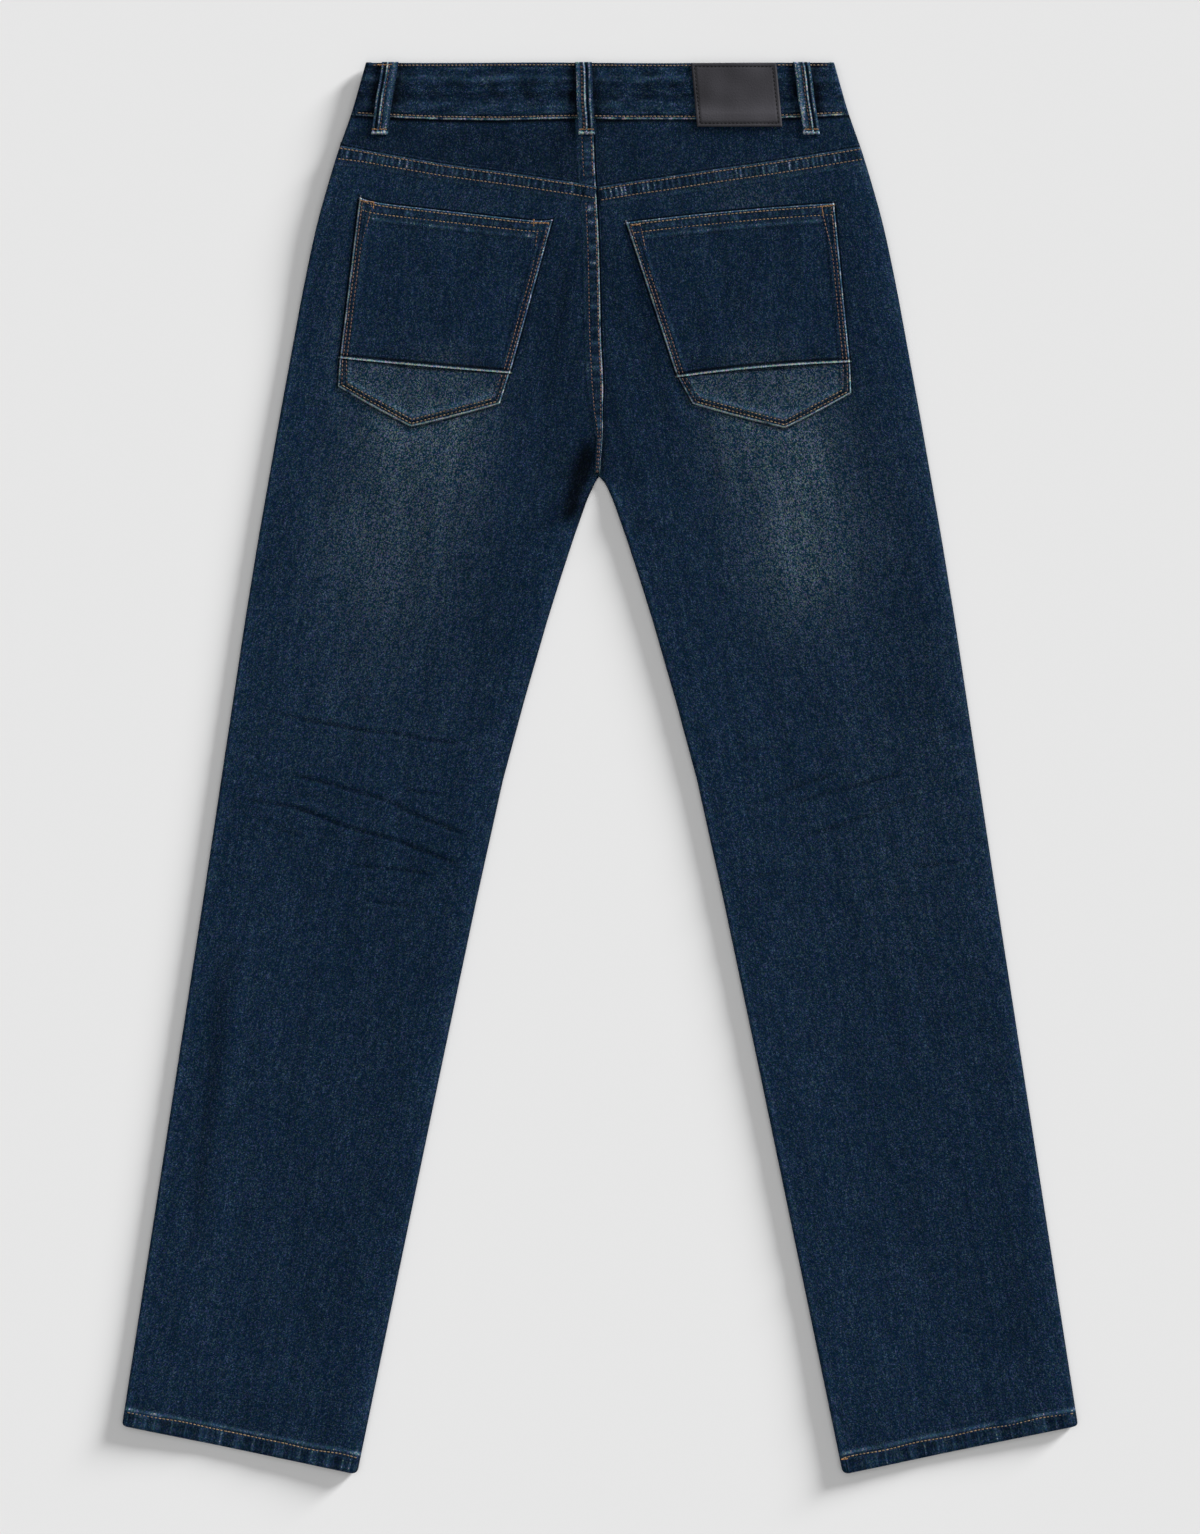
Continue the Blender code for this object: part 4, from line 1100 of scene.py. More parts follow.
def toe_place(pocket, u, v):
    """Place on the toe: v is 0 just above the toe seam and 1 on the pointed lower edge."""
    seam_x, seam_drop = (mix(a, b, u) for a, b in zip(pocket.outer_toe, pocket.inner_toe))
    seam_drop = seam_drop - 4 * u * (1 - u) * pocket.bow - TOE_TUCK
    outer, point, inner = pocket.outer_foot, pocket.point, pocket.inner_foot
    wide = inner[0] - outer[0]
    tip = (point[0] - outer[0]) / wide
    shares = (-0.1, 0, tip, 1, 1.1)
    past = 0.1 * wide
    foot_x = np.interp(u, shares, (outer[0] - past, outer[0], point[0], inner[0], inner[0] + past))
    foot_drop = np.interp(u, shares, (outer[1], outer[1], point[1], inner[1], inner[1]))
    wave = np.sin(np.interp(u, shares, (0, 0, math.pi, 2 * math.pi, 2 * math.pi)))
    foot_drop = foot_drop + 0.7 * wave * np.where(u < tip, 1, -1)
    return mix(seam_x, foot_x, v), mix(seam_drop, foot_drop, v)


def make_toe(pocket, denim):
    """The pointed lower piece of a back pocket, sewn over it."""
    side = pocket.side
    width, depth = TOE_GRID
    above = np.arange(0, depth - 10.5, 0.6) / depth
    below = 1 - uneven_steps(EDGE_STOPS[:-1])[::-1] / depth
    u, v = np.meshgrid(edged(width), np.concatenate([above, below]))
    x, drop = toe_place(pocket, u, v)
    foot = pairs(*toe_place(pocket, np.linspace(0, 1, 60), np.ones(60)))
    low_edge = -side * line_distance(x, drop, foot)[0]
    side_edge = np.minimum(u, 1 - u) * pocket_widths(pocket)[1]
    edge = np.minimum(low_edge, side_edge)
    from_seam = v * depth
    bumps = np.interp(x + 230, BUMP_KNOTS, bars(BUMP_KNOTS, 4.4, 100 + side, 0.8))
    rise = fold_rise(edge, bumps, 1.2) + 0.08 * ripples(x, drop, 12, 101 + side) * ease(0, 1, edge)
    rise = rise - 0.45 * fall(1.6, 3.4, from_seam) * ease(0, 1, edge)
    base = back_height(x, drop) + 0.08
    rough = 0.85 + 0.35 * ripples(x, drop, 5, 99)
    low = ease(-2, 2, side_edge - low_edge)
    turned = between(edge, 1.2, 2.0, 5.6, 6.6)
    # Worn edges; the extra on the side that faces away from the key light is painted light
    wear = mix(mix(0.55, 1.1, (u < 0.5) == (side < 0)), 2.0, low) * bell(edge - 0.5, 0.5) * rough
    wear += 0.20 * bell(edge - 6.9, 0.9) * (0.5 + bumps) * low + 0.10 * bell(low_edge - 9.4, 1.4) * rough
    # Painted shadow below the pocket's folded edge and on the skirt beyond the toe's edges; darker lines and
    # cloth in the stitched band
    shade = 0.85 * bell(from_seam - 2.6, 1.1) + mix(0.85, 0.55, low) * bell(edge + 0.8, 0.9) * (edge < 0.2)
    shade += 0.40 * turned * (1 - bumps) + marks(edge, (1.5, 0.4, 0.45), (3.8, 0.6, 0.40), (6.5, 0.5, 0.25))
    fade = TOE_FADE + TOE_LOW_FADE * ease(22, 6, low_edge) + 0.10 * ripples(x, drop, 14, 104 + side)
    fade -= 0.25 * bell(side_edge - 12, 10) * fall(8, 24, from_seam)
    fade = fade * (1 - 0.62 * turned)
    skin = to_points(x, drop, base + np.maximum(rise, -0.02))
    make_sheet("pocket_toe_" + pocket.name, skin, to_points(x, drop, base - 0.25), denim, (140, 56),
               ["back_leg_" + pocket.name], wear=np.clip(wear, 0, 1), shade=np.clip(shade, *SHADE_LIMITS),
               fade=np.clip(fade, 0, 1))


def pocket_threads(pocket):
    """Stitching of a pocket and its toe, as (path, lift over the back panel): bright rows, then dark rows."""
    width, depth = POCKET_GRID
    bright, dark = [], []
    for down, lift in ((2.4, 1.62), (9.0, 1.5)):
        u = np.linspace(2.0 / width, 1 - 2.0 / width, 60)
        bright.append((pairs(*pocket_point(pocket, u, 0 * u + down / depth)), lift))
    for inward, lift in ((2.5, 1.55), (5.4, 1.5)):
        v = np.linspace(0.02, 0.985, 60)
        far = inward + (4.8 * fall(0, 0.36, v) if inward > 5 else 0)
        share = far / mix(*pocket_widths(pocket), v)
        for here in (share, 1 - share):
            dark.append((pairs(*pocket_point(pocket, here, v)), lift))
    outer, point, inner = (np.array(p) for p in (pocket.outer_foot, pocket.point, pocket.inner_foot))
    outer_dir = (point - outer) / np.linalg.norm(point - outer)
    inner_dir = (inner - point) / np.linalg.norm(inner - point)
    up_outer = np.array((outer_dir[1], -outer_dir[0])) * -pocket.side
    up_inner = np.array((inner_dir[1], -inner_dir[0])) * -pocket.side
    for inward, lift in ((2.3, 1.55), (5.3, 1.5)):
        start = toe_place(pocket, inward / TOE_GRID[0], 0.1)
        end = toe_place(pocket, 1 - inward / TOE_GRID[0], 0.1)
        first = outer + (up_outer + outer_dir) * inward
        middle = point + (up_outer + up_inner) / (1 + up_outer @ up_inner) * inward
        last = inner + (up_inner - inner_dir) * inward
        dark.extend([(np.array((start, first)), lift), (np.array((last, end)), lift)])
        bright.extend([(np.array((first, middle)), lift), (np.array((middle, last)), lift)])
    return bright, dark


def thread_mesh(name, rows, material, radius=STITCH_RADIUS, up=1):
    """Real stitches along rows of (path, height function, lift), joined into one mesh."""
    rng = np.random.default_rng(len(name) * 7 + len(rows))
    centres, alongs, lengths = [], [], []
    for path, support, lift in rows:
        path = np.asarray(path, float)
        runs = runs_of(path)
        count = max(int(runs[-1] / STITCH_PITCH), 1)
        at = (np.arange(count) + 0.5) * runs[-1] / count + rng.uniform(-0.12, 0.12, count)
        here, ahead, behind = (
            pairs(np.interp(at + shift, runs, path[:, 0]), np.interp(at + shift, runs, path[:, 1]))
            for shift in (0, 0.5, -0.5)
        )
        centres.append(to_points(*here.T, support(*here.T) + up * lift))
        alongs.append((ahead - behind) / np.linalg.norm(ahead - behind, axis=1)[:, None])
        lengths.append(STITCH_LENGTH * rng.uniform(0.85, 1.1, count))
    return capsules(name, centres, alongs, lengths, material, radius, up)


def capsules(name, centres, alongs, lengths, material, radius, up=1):
    """Short rounded threads, each sunk at its two ends.

    centres, alongs and lengths are lists with an array for each row of stitches.
    """
    centres, alongs, lengths = (np.concatenate(rows) for rows in (centres, alongs, lengths))
    count = len(centres)
    rings = len(STITCH_RINGS)
    body = np.sqrt(1 - (np.abs(STITCH_RINGS) * 0.93) ** 4)
    direction = np.stack([alongs[:, 0], -alongs[:, 1], np.zeros(count)], axis=1)
    across = np.stack([-direction[:, 1], direction[:, 0], np.zeros(count)], axis=1)
    turns = np.arange(STITCH_SIDES) * 2 * math.pi / STITCH_SIDES
    half_lengths = STITCH_RINGS[None, :, None] * lengths[:, None, None] / 2
    spine = centres[:, None, :] + direction[:, None, :] * half_lengths
    spine[..., 2] -= up * STITCH_END_SINK * np.abs(STITCH_RINGS)[None, :] ** 3
    side = across[:, None, None, :] * (np.cos(turns)[None, None, :, None] * radius)
    height = np.zeros((1, 1, STITCH_SIDES, 3))
    height[..., 2] = np.sin(turns) * radius * STITCH_FLATNESS
    points = spine[:, :, None, :] + (side + height) * body[None, :, None, None]
    index = np.arange(rings * STITCH_SIDES).reshape(rings, STITCH_SIDES)
    following = np.roll(index, -1, axis=1)
    quads = np.stack([index[:-1], following[:-1], following[1:], index[1:]], axis=-1).reshape(-1, 4)
    shift = (np.arange(count) * rings * STITCH_SIDES)[:, None, None]
    faces = []
    for part in (quads, index[:1, ::-1], index[-1:]):
        faces += (part[None] + shift).reshape(-1, part.shape[1]).tolist()
    return new_object(name, points.reshape(-1, 3), faces, material)


def tack_mesh(name, tacks, material):
    """Bar tacks, (start, end, width, height function, lift): dense rows of short threads side by side."""
    rng = np.random.default_rng(5)
    centres, alongs, lengths = [], [], []
    for start, end, width, support, lift in tacks:
        start, end = np.array(start, float), np.array(end, float)
        length = np.linalg.norm(end - start)
        along = (end - start) / length
        count = max(int(length / TACK_STEP), 2)
        place = start + along * np.linspace(0, length, count)[:, None] + rng.uniform(-0.2, 0.2, (count, 2))
        centres.append(to_points(*place.T, support(*place.T) + lift))
        lean = np.array((along[1], -along[0])) + rng.uniform(-0.7, 0.7, (count, 2))
        alongs.append(lean / np.linalg.norm(lean, axis=1)[:, None])
        lengths.append(width * rng.uniform(0.7, 1.15, count))
    return capsules(name, centres, alongs, lengths, material, TACK_RADIUS)


def seam_strip(name, path, offsets, support, marks_at, material, reach=None):
    """A raised seam along a path.

    marks_at(offset, run) gives its rise, wear and shade. reach is (share of the path, scale of the offsets).
    """
    path = spaced(path, SEAM_STEP)
    run = runs_of(path)
    scale = np.ones(len(path)) if reach is None else np.interp(run / run[-1], *np.array(reach).T)
    across = across_of(path)[1]
    far = offsets[None, :] * scale[:, None]
    x = path[:, 0, None] + across[:, 0, None] * far
    drop = path[:, 1, None] + across[:, 1, None] * far
    rise, wear, shade = (values + 0 * x for values in marks_at(offsets[None, :], run))
    ends = (ease(0, 1.5, run) * ease(0, 1.5, run[-1] - run))[:, None]
    rise = np.where(rise > 0, rise * ends, rise)
    level = support(x, drop)
    skin = to_points(x, drop, level + rise)
    lining = to_points(x, drop, level + (np.minimum(rise, 0) - 0.6))
    wall(name, skin, lining, material, wear=np.clip(wear, 0, 1), shade=np.clip(shade, *SHADE_LIMITS),
         fade=fade_at(x, drop))


def felled_marks(look):
    """Marks of a felled seam: its fold at 0 with a painted shadow on the cloth beyond it, its rows of
    stitching, and drawn-up bars between them.
    """

    def marks_at(offset, run):
        flat = 0 * run
        field = between(offset, 1.8, 2.8, 7.9, 9.0)
        bump = bars(run, look.spacing, look.seed, look.bar_width)[:, None] * field
        drawn = look.strength * bump
        rough = (0.85 + 0.35 * ripples(run, flat, 5, look.seed + 3))[:, None]
        rise = 0.07 + 0.83 * ease(-0.15, 0.35, offset) - 0.80 * ease(9.8, 13.5, offset) + 0.4 * drawn
        rise = rise - marks(offset, (FELL_ROWS[0], 0.6, 0.2), (FELL_ROWS[1], 0.7, 0.2))
        rise = rise - 0.5 * fall(-3.0, -2.4, offset) - 0.5 * ease(14.0, 15.0, offset)
        wear = (look.edge_wear * bell(offset - 0.45, 0.5) + 0.15 * bell(offset - 12.2, 1.5)) * rough + drawn
        worn = bell(run - look.worn_place, 8) * (1 + ripples(run, flat, 3, look.seed))
        wear = wear + 0.13 * bell(offset - 6, 3.2) * worn[:, None]
        # Painted shadow beside the fold; darker cloth between the drawn-up bars and by the second row
        shade = look.outside * bell(offset + 0.9, 1.0) + 0.30 * field * (1 - bump)
        return rise, wear, shade + 0.15 * bell(offset - 8.9, 0.8)

    return marks_at


# Offsets across a felled seam; those below 0 lie flat on the cloth beyond the fold and carry its painted
# shadow
FELL_OFFSETS = np.concatenate([
    (-3.0, -2.4, -1.8, -1.3, -0.9, -0.5, -0.15), np.arange(0.0, 3.0, 0.3), np.arange(3.0, 8.0, 0.8),
    np.arange(8.0, 12.5, 0.5), (13.2, 14.0, 15.0),
])


# Felled seams. reach is (share of the path, scale of the seam's width), and stitched the part of the path
# that is stitched. The rest is for felled_marks: spacing and width of the drawn-up bars, their strength, how
# worn the fold is, the painted shadow beside it, seed of the draws, and the run where the seam is worn. Drops
# are those of the centre seam's two ends.
FelledSeam = namedtuple(
    "FelledSeam", "reach spacing strength edge_wear outside bar_width seed worn_place stitched drops",
    defaults=(-99, (None, None), None),
)
YOKE_SEAMS = {
    "left": FelledSeam(((0, 1.0), (0.9, 1.0), (1, 1.15)), 5.0, 0.35, 0.30, 0.60, 0.7, 15),
    "right": FelledSeam(((0, 1.08), (0.8, 1.10), (1, 1.12)), 4.6, 0.40, 0.30, 0.62, 0.6, 16),
}
CENTRE_SEAMS = {
    "upper": FelledSeam(
        ((0, 0.95), (1, 1.0)), 8.0, 0.26, 0.85, 0.95, 1.4, 17, stitched=(8, None), drops=(103, 43.5)
    ),
    "lower": FelledSeam(
        ((0, 0.30), (0.12, 0.34), (0.22, 0.72), (0.32, 0.95), (1, 0.92)), 9.0, 0.30, 0.95, 1.00, 1.6, 18,
        worn_place=215, stitched=(0, -9), drops=(329, 100),
    ),
}


def make_felled_seam(name, seam, path, support, denim):
    """A raised seam, and the paths of its two rows of stitching. The first row of the centre seam is even."""
    seam_strip(name, path, FELL_OFFSETS, support, felled_marks(seam), denim, seam.reach)
    scale = np.interp(np.linspace(0, 1, len(path)), *np.array(seam.reach).T)
    scales = (0 * scale + 1 if seam.drops else scale, scale)
    return [shifted(path, row * scale)[slice(*seam.stitched)] for row, scale in zip(FELL_ROWS, scales)]


def make_seams(denim):
    """The raised yoke seams and centre back seam, and the rows of their stitching."""
    lap_rows, centre_rows = [], []
    for name, seam in YOKE_SEAMS.items():
        path = soft_line(YOKE_LAPS[name], 1.3)
        paths = make_felled_seam("yoke_seam_" + name, seam, path, lap_support, denim)
        lap_rows += [(row, lap_support, lift) for row, lift in zip(paths, YOKE_LIFTS)]
    for name, seam in CENTRE_SEAMS.items():
        low, high = seam.drops
        drops = np.linspace(low, high, int((low - high) / 1.3))
        path = pairs(fold_x(drops), drops)
        paths = make_felled_seam("centre_seam_" + name, seam, path, back_height, denim)
        centre_rows += [(row, back_height, lift) for row, lift in zip(paths, CENTRE_LIFTS)]
    return lap_rows, centre_rows


def hem_fold_marks(seed):
    """Marks of a turned hem from its edge up to its stitches: roping, pale bars and dark patches."""

    def marks_at(offset, run):
        bump = bars(run, 10.0, seed, 0.5)[:, None]
        patch = np.clip(0.5 + 0.9 * ripples(run, 0 * run, 7, seed + 1), 0, 1)[:, None]
        body = between(offset, 0.2, 1.6, 10.4, 11.8)
        rise = 0.05 + (0.22 + 0.25 * bump + 0.15 * patch) * body - 0.5 * ease(11.6, 12.2, offset)
        wear = (0.36 * bump + 0.05 * patch) * body + 0.22 * bell(offset - 0.4, 0.5) * patch
        shade = (0.34 - 0.26 * patch) * body + 0.02 - 0.22 * bell(offset - 4, 2.4)
        return rise, wear, shade + 0.1 * ripples(run, 0 * run, 16, seed + 2)[:, None]

    return marks_at


def make_hem_folds(denim):
    """The turned cloth of the back hems, between their edge and their stitching."""
    offsets = np.concatenate([(0, 0.25, 0.5, 0.9, 1.4), np.arange(2.0, 11.0, 0.9), (11.4, 11.8, 12.2)])
    for side, name in SIDES:
        path = hem_path(side, 0.4, 0.0)[::side]
        seam_strip("hem_fold_" + name, path, offsets, hem_support, hem_fold_marks(110 + side), denim)


def hem_support(x, drop):
    return back_skin(x, drop) + HEM_RISE


def scoop_points(count):
    """The scoop of a front pocket: (half, drop) from the waistband to the side seam, and the turn there."""
    turn = np.radians(np.linspace(0, SCOOP_FLAT_ANGLE, count))
    start_drop = BAND_HEIGHT + front_dip(SCOOP_START) + LAYER_GAP
    half = mix(SCOOP_START, side_half(SCOOP_END_DROP), 1 - np.cos(turn))
    return pairs(half, mix(start_drop, SCOOP_END_DROP, np.sin(turn))), turn


def raise_to_band(room, *grids):
    """Moves the first row of each grid up to the front waistband's lower edge, with some room to it."""
    for grid in grids:
        grid[0, :, 1] = WAIST_Y - (BAND_HEIGHT + front_dip(grid[0, :, 0]) + LAYER_GAP) - room


def make_front_leg(side, name, denim):
    scoop, turn = scoop_points(SCOOP_ROWS)
    seat = mix(SCOOP_END_DROP, CROTCH_DROP, np.linspace(0, 1, 36))
    fly = mix(BAND_HEIGHT + FRONT_DIP + LAYER_GAP, SCOOP_END_DROP, np.sin(turn))
    first = len(scoop) + len(seat)
    low_shares = leg_rows(4.5, 6.0)
    leg_inner, leg_outer = leg_ends(low_shares)
    leg_inner[:, 0] = np.maximum(leg_inner[:, 0], FRONT_GAP)
    inner = np.concatenate([pairs(FRONT_GAP, fly), pairs(FRONT_GAP, seat), leg_inner])
    outer = np.concatenate([scoop, pairs(side_half(seat), seat), leg_outer])
    roll_outer = ease(SCOOP_END_DROP - 1, SCOOP_END_DROP + 3, outer[:, 1])
    roll_inner = ease(CROTCH_DROP - 1, CROTCH_DROP + 9, inner[:, 1])
    skin, lining = panel_grid(side, inner, outer, roll_inner, roll_outer, front_height, -1, 5.0)
    raise_to_band(0.3, skin, lining)
    x, drop = places_of(skin)
    _, hem_wear, hem_shade = hem_masks(skin[first:], low_shares, 60 + side)
    wear, shade = edge_masks(x, drop)
    wear[first:] += hem_wear
    wear += 0.3 * bell(line_distance(np.abs(x), drop, scoop)[0], 1.0)
    shade = shade + 0.05 * ripples(x, drop, 9, 44, 14)
    shade[first:] += hem_shade
    fade = 0.9 * bell(np.abs(x) - 168, 52) * bell(drop - 400, 110)
    make_sheet("front_leg_" + name, skin, lining, denim, (300, 1060), ["surface"],
               wear=wear, shade=shade, fade=fade)


def make_facing(side, name, denim):
    """The denim that shows in the scoop of a front pocket."""
    half, drop = scoop_points(SCOOP_ROWS)[0].T
    low = np.minimum(drop, drop[-1] - 0.6)
    outer_drop = mix(BAND_HEIGHT + 0.6, low[-1], (low - drop[0]) / (low[-1] - drop[0]))
    inner = pairs(half - FACING_TUCK, low)
    outer = pairs(side_half(outer_drop), outer_drop)
    skin, lining = panel_grid(side, inner, outer, 0 * half, 0 * half + 1, facing_height, -1)
    raise_to_band(0.6, skin, lining)
    make_sheet("front_pocket_facing_" + name, skin, lining, denim, (120, 100), ["front_leg_" + name])


def make_fronts(denim):
    for side, name in SIDES:
        make_front_leg(side, name, denim)
        make_facing(side, name, denim)


def front_threads():
    """Rows of stitching on the hidden front: the pocket scoops, the fly and the seam below it."""
    paths = []
    scoop = scoop_points(40)[0]
    for side, _ in SIDES:
        for outward in (2.0, 8.0):
            paths.append(shifted(scoop * (side, 1), -side * outward)[1:-3])
    fly_turn = np.linspace(0, math.pi / 2, 16)
    for inset in (34.0, 28.0):
        curve_x = -inset + inset * (1 - np.cos(fly_turn)) * 0.9
        curve = pairs(curve_x, 190 + (inset + 6) * np.sin(fly_turn))
        paths.append(np.concatenate([[(-inset, BAND_HEIGHT + 30)], curve]))
    paths.append(np.array(((-1.2, 225), (-1.2, CROTCH_DROP - 3))))
    return [(path, front_height, FRONT_SINK) for path in paths]


def hem_path(side, above, waver=0.7):
    """A line across a leg at a distance above its hem, between its two edges."""
    inner_drop, outer_drop = leg_drops(1 - above / LEG_DROP)
    inset = 2.5 if above > HEM_CORNER else 4.0
    ends = [(inner_half(inner_drop) + inset, inner_drop), (side_half(outer_drop) - inset, outer_drop)]
    path = spaced(ends, 4)
    path[:, 0] *= side
    path[:, 1] += waver * ripples(path[:, 0], 0 * path[:, 0], 26, 50 + side)
    return path


def band_rows():
    """Rows of stitching round the back of the waistband."""
    x = np.linspace(-182, 182, 160)
    top = pairs(x, band_top_edge(x) + BAND_TOP_ROW)
    x = np.linspace(-194, 194, 170)
    low = pairs(x, band_edge(x) - BAND_LOW_ROW)
    return [(top, band_surface, BAND_LIFT), (low, band_surface, BAND_LIFT)]


def front_band_rows():
    x = np.linspace(-180, 180, 120)
    downs = (BAND_TOP_ROW, BAND_HEIGHT - BAND_LOW_ROW)
    return [(pairs(x, front_dip(x) + down), band_under, FRONT_SINK) for down in downs]


def band_under(x, drop):
    return BAND_UNDER + 0 * x


FLOAT = "NodeSocketFloat"
COLOUR = "NodeSocketColor"

# Denim: strength and level of its flecks, and its colours. Rubbed and Worn are worn colours that also
# show painted highlights.
FLECK_CONTRAST = 1.95
FLECK_LEVEL = -0.345
DENIM_COLOURS = {
    "Base": (0.0010, 0.0070, 0.0196),
    "Fleck": (0.0048, 0.0100, 0.0162),
    "Faded": (0.0024, 0.0176, 0.0352),
    "Faded Fleck": (0.0196, 0.0282, 0.0326),
    "Rubbed": (0.0480, 0.1070, 0.1740),
    "Worn": (0.3050, 0.3920, 0.4020),
}

# Leather, metal and threads: dark and light colour of their grain, its size, and how the surface shines.
# sheen is a painted highlight colour.
# What isn't given is that of the threads.
Finish = namedtuple(
    "Finish", "dark light size roughness specular bump bump_distance metallic sheen",
    defaults=(520.0, 0.7, 0.2, 0.4, 0.0002, 0.0, None),
)
FINISHES = {
    "patch_leather": Finish(
        (0.0135, 0.0132, 0.0158), (0.0225, 0.0218, 0.0252), size=700.0, roughness=0.62, specular=0.10,
        bump=0.5, bump_distance=0.0003, sheen=(0.062, 0.060, 0.069),
    ),
    "aged_brass": Finish(
        (0.16, 0.10, 0.05), (0.42, 0.30, 0.16), size=300.0, roughness=0.38, specular=0.5, bump=0.2,
        metallic=1.0,
    ),
}
for label, dark, light in (
    ("copper_thread", (0.060, 0.039, 0.025), (0.240, 0.170, 0.112)),
    ("golden_thread", (0.066, 0.045, 0.028), (0.290, 0.203, 0.118)),
    ("dark_copper_thread", (0.034, 0.021, 0.017), (0.185, 0.112, 0.088)),
    ("tack_thread", (0.070, 0.034, 0.018), (0.420, 0.230, 0.095)),
    ("black_thread", (0.004, 0.004, 0.005), (0.010, 0.010, 0.012)),
):
    FINISHES[label] = Finish(dark, light)


def node(tree, kind, inputs=None, **settings):
    """Adds a shader node. inputs maps a socket to a value or to the socket that feeds it."""
    made = tree.nodes.new(kind)
    for name, value in settings.items():
        setattr(made, name, value)
    for key, value in (inputs or {}).items():
        if isinstance(value, bpy.types.NodeSocket):
            tree.links.new(value, made.inputs[key])
        else:
            made.inputs[key].default_value = value
    return made


def maths(tree, operation, *values):
    return node(tree, "ShaderNodeMath", dict(enumerate(values)), operation=operation).outputs[0]


def vector_maths(tree, operation, *values):
    return node(tree, "ShaderNodeVectorMath", dict(enumerate(values)), operation=operation).outputs[0]


def mask(tree, name):
    """A mask of the mesh."""
    return node(tree, "ShaderNodeAttribute", attribute_name=name).outputs["Fac"]


def mix_colour(tree, share, a, b):
    inputs = {0: share, 6: a, 7: b}
    return node(tree, "ShaderNodeMix", inputs, data_type="RGBA", clamp_factor=True).outputs[2]


def noise(tree, vector, scale, detail, roughness=0.5):
    inputs = {"Vector": vector, "Scale": scale, "Detail": detail, "Roughness": roughness}
    return node(tree, "ShaderNodeTexNoise", inputs).outputs["Fac"]


def new_group(name, inputs, outputs):
    tree = bpy.data.node_groups.new(name, "ShaderNodeTree")
    for label, kind, value in inputs:
        socket = tree.interface.new_socket(name=label, in_out="INPUT", socket_type=kind)
        socket.default_value = value
    for label, kind in outputs:
        tree.interface.new_socket(name=label, in_out="OUTPUT", socket_type=kind)
    return tree, tree.nodes.new("NodeGroupInput").outputs, tree.nodes.new("NodeGroupOutput").inputs


def yarn_group():
    """Denim yarns: pale flecks of uneven strength, finer ones for faded cloth, mottling, tint and height."""
    tree, given, out = new_group(
        "denim_yarns",
        [("Slant", FLOAT, 0.0), ("Contrast", FLOAT, 1.0), ("Level", FLOAT, 0.0), ("Turned", FLOAT, 0.0)],
        [("Flecks", FLOAT), ("Fine Flecks", FLOAT), ("Mottle", FLOAT), ("Tint", COLOUR), ("Height", FLOAT)],
    )
    place = node(tree, "ShaderNodeTexCoord").outputs["Object"]
    parts = node(tree, "ShaderNodeSeparateXYZ", {0: place}).outputs
    lean = maths(tree, "MULTIPLY", parts[1], given["Slant"])
    lean = maths(tree, "MULTIPLY", maths(tree, "SIGN", parts[0]), lean)
    across = maths(tree, "ADD", parts[0], lean)
    upright = node(tree, "ShaderNodeCombineXYZ", {0: across, 1: parts[1], 2: parts[2]}).outputs[0]
    level = node(tree, "ShaderNodeCombineXYZ", {0: parts[1], 1: parts[0], 2: parts[2]}).outputs[0]
    inputs = {"Factor": given["Turned"], 4: upright, 5: level}
    cloth = node(tree, "ShaderNodeMix", inputs, data_type="VECTOR").outputs[1]
    lengthwise = vector_maths(tree, "MULTIPLY", cloth, (1.0, 0.13, 1.0))
    long_runs = vector_maths(tree, "MULTIPLY", cloth, (1.0, 0.06, 1.0))
    coarse = (
        (noise(tree, cloth, 300, 1.0), 0.5),
        (noise(tree, lengthwise, 640, 1.0), 1.5),
        (noise(tree, long_runs, 170, 1.0), 0.5),
        (noise(tree, cloth, 26, 2.0), 0.4),
    )
    crossings = vector_maths(tree, "FLOOR", vector_maths(tree, "MULTIPLY", cloth, (1200.0, 1150.0, 1150.0)))
    crossing = node(tree, "ShaderNodeTexWhiteNoise", {"Vector": crossings}).outputs
    threads = vector_maths(tree, "FLOOR", vector_maths(tree, "MULTIPLY", cloth, (2100.0, 900.0, 900.0)))
    thread = node(tree, "ShaderNodeTexWhiteNoise", {"Vector": threads}).outputs
    main_layers = ((crossing["Value"], 1.9), (noise(tree, cloth, 960, 1.0), 2.0), *coarse)
    fine_layers = (
        (crossing["Value"], 5.2),
        (thread["Value"], 2.8),
        (coarse[1][0], 2.6),
        (coarse[2][0], 1.6),
    )
    sums = []
    for layers in (main_layers, fine_layers):
        total = 0.0
        for value, strength in layers:
            total = maths(tree, "MULTIPLY_ADD", maths(tree, "SUBTRACT", value, 0.5), strength, total)
        sums.append(total)
    total = maths(tree, "MULTIPLY_ADD", sums[0], given["Contrast"], given["Level"])
    tree.links.new(maths(tree, "POWER", 2.0, total), out["Flecks"])
    tree.links.new(maths(tree, "MAXIMUM", maths(tree, "ADD", sums[1], 0.92), 0.1), out["Fine Flecks"])
    tree.links.new(noise(tree, cloth, 60, 3.0), out["Mottle"])
    tree.links.new(crossing["Color"], out["Tint"])
    slanting = [maths(tree, "MULTIPLY", value, 7000.0) for value in (across, parts[1])]
    twill = maths(tree, "MULTIPLY", maths(tree, "SINE", maths(tree, "ADD", *slanting)), 0.25)
    tree.links.new(maths(tree, "ADD", twill, noise(tree, cloth, 900, 2.0)), out["Height"])
    return tree


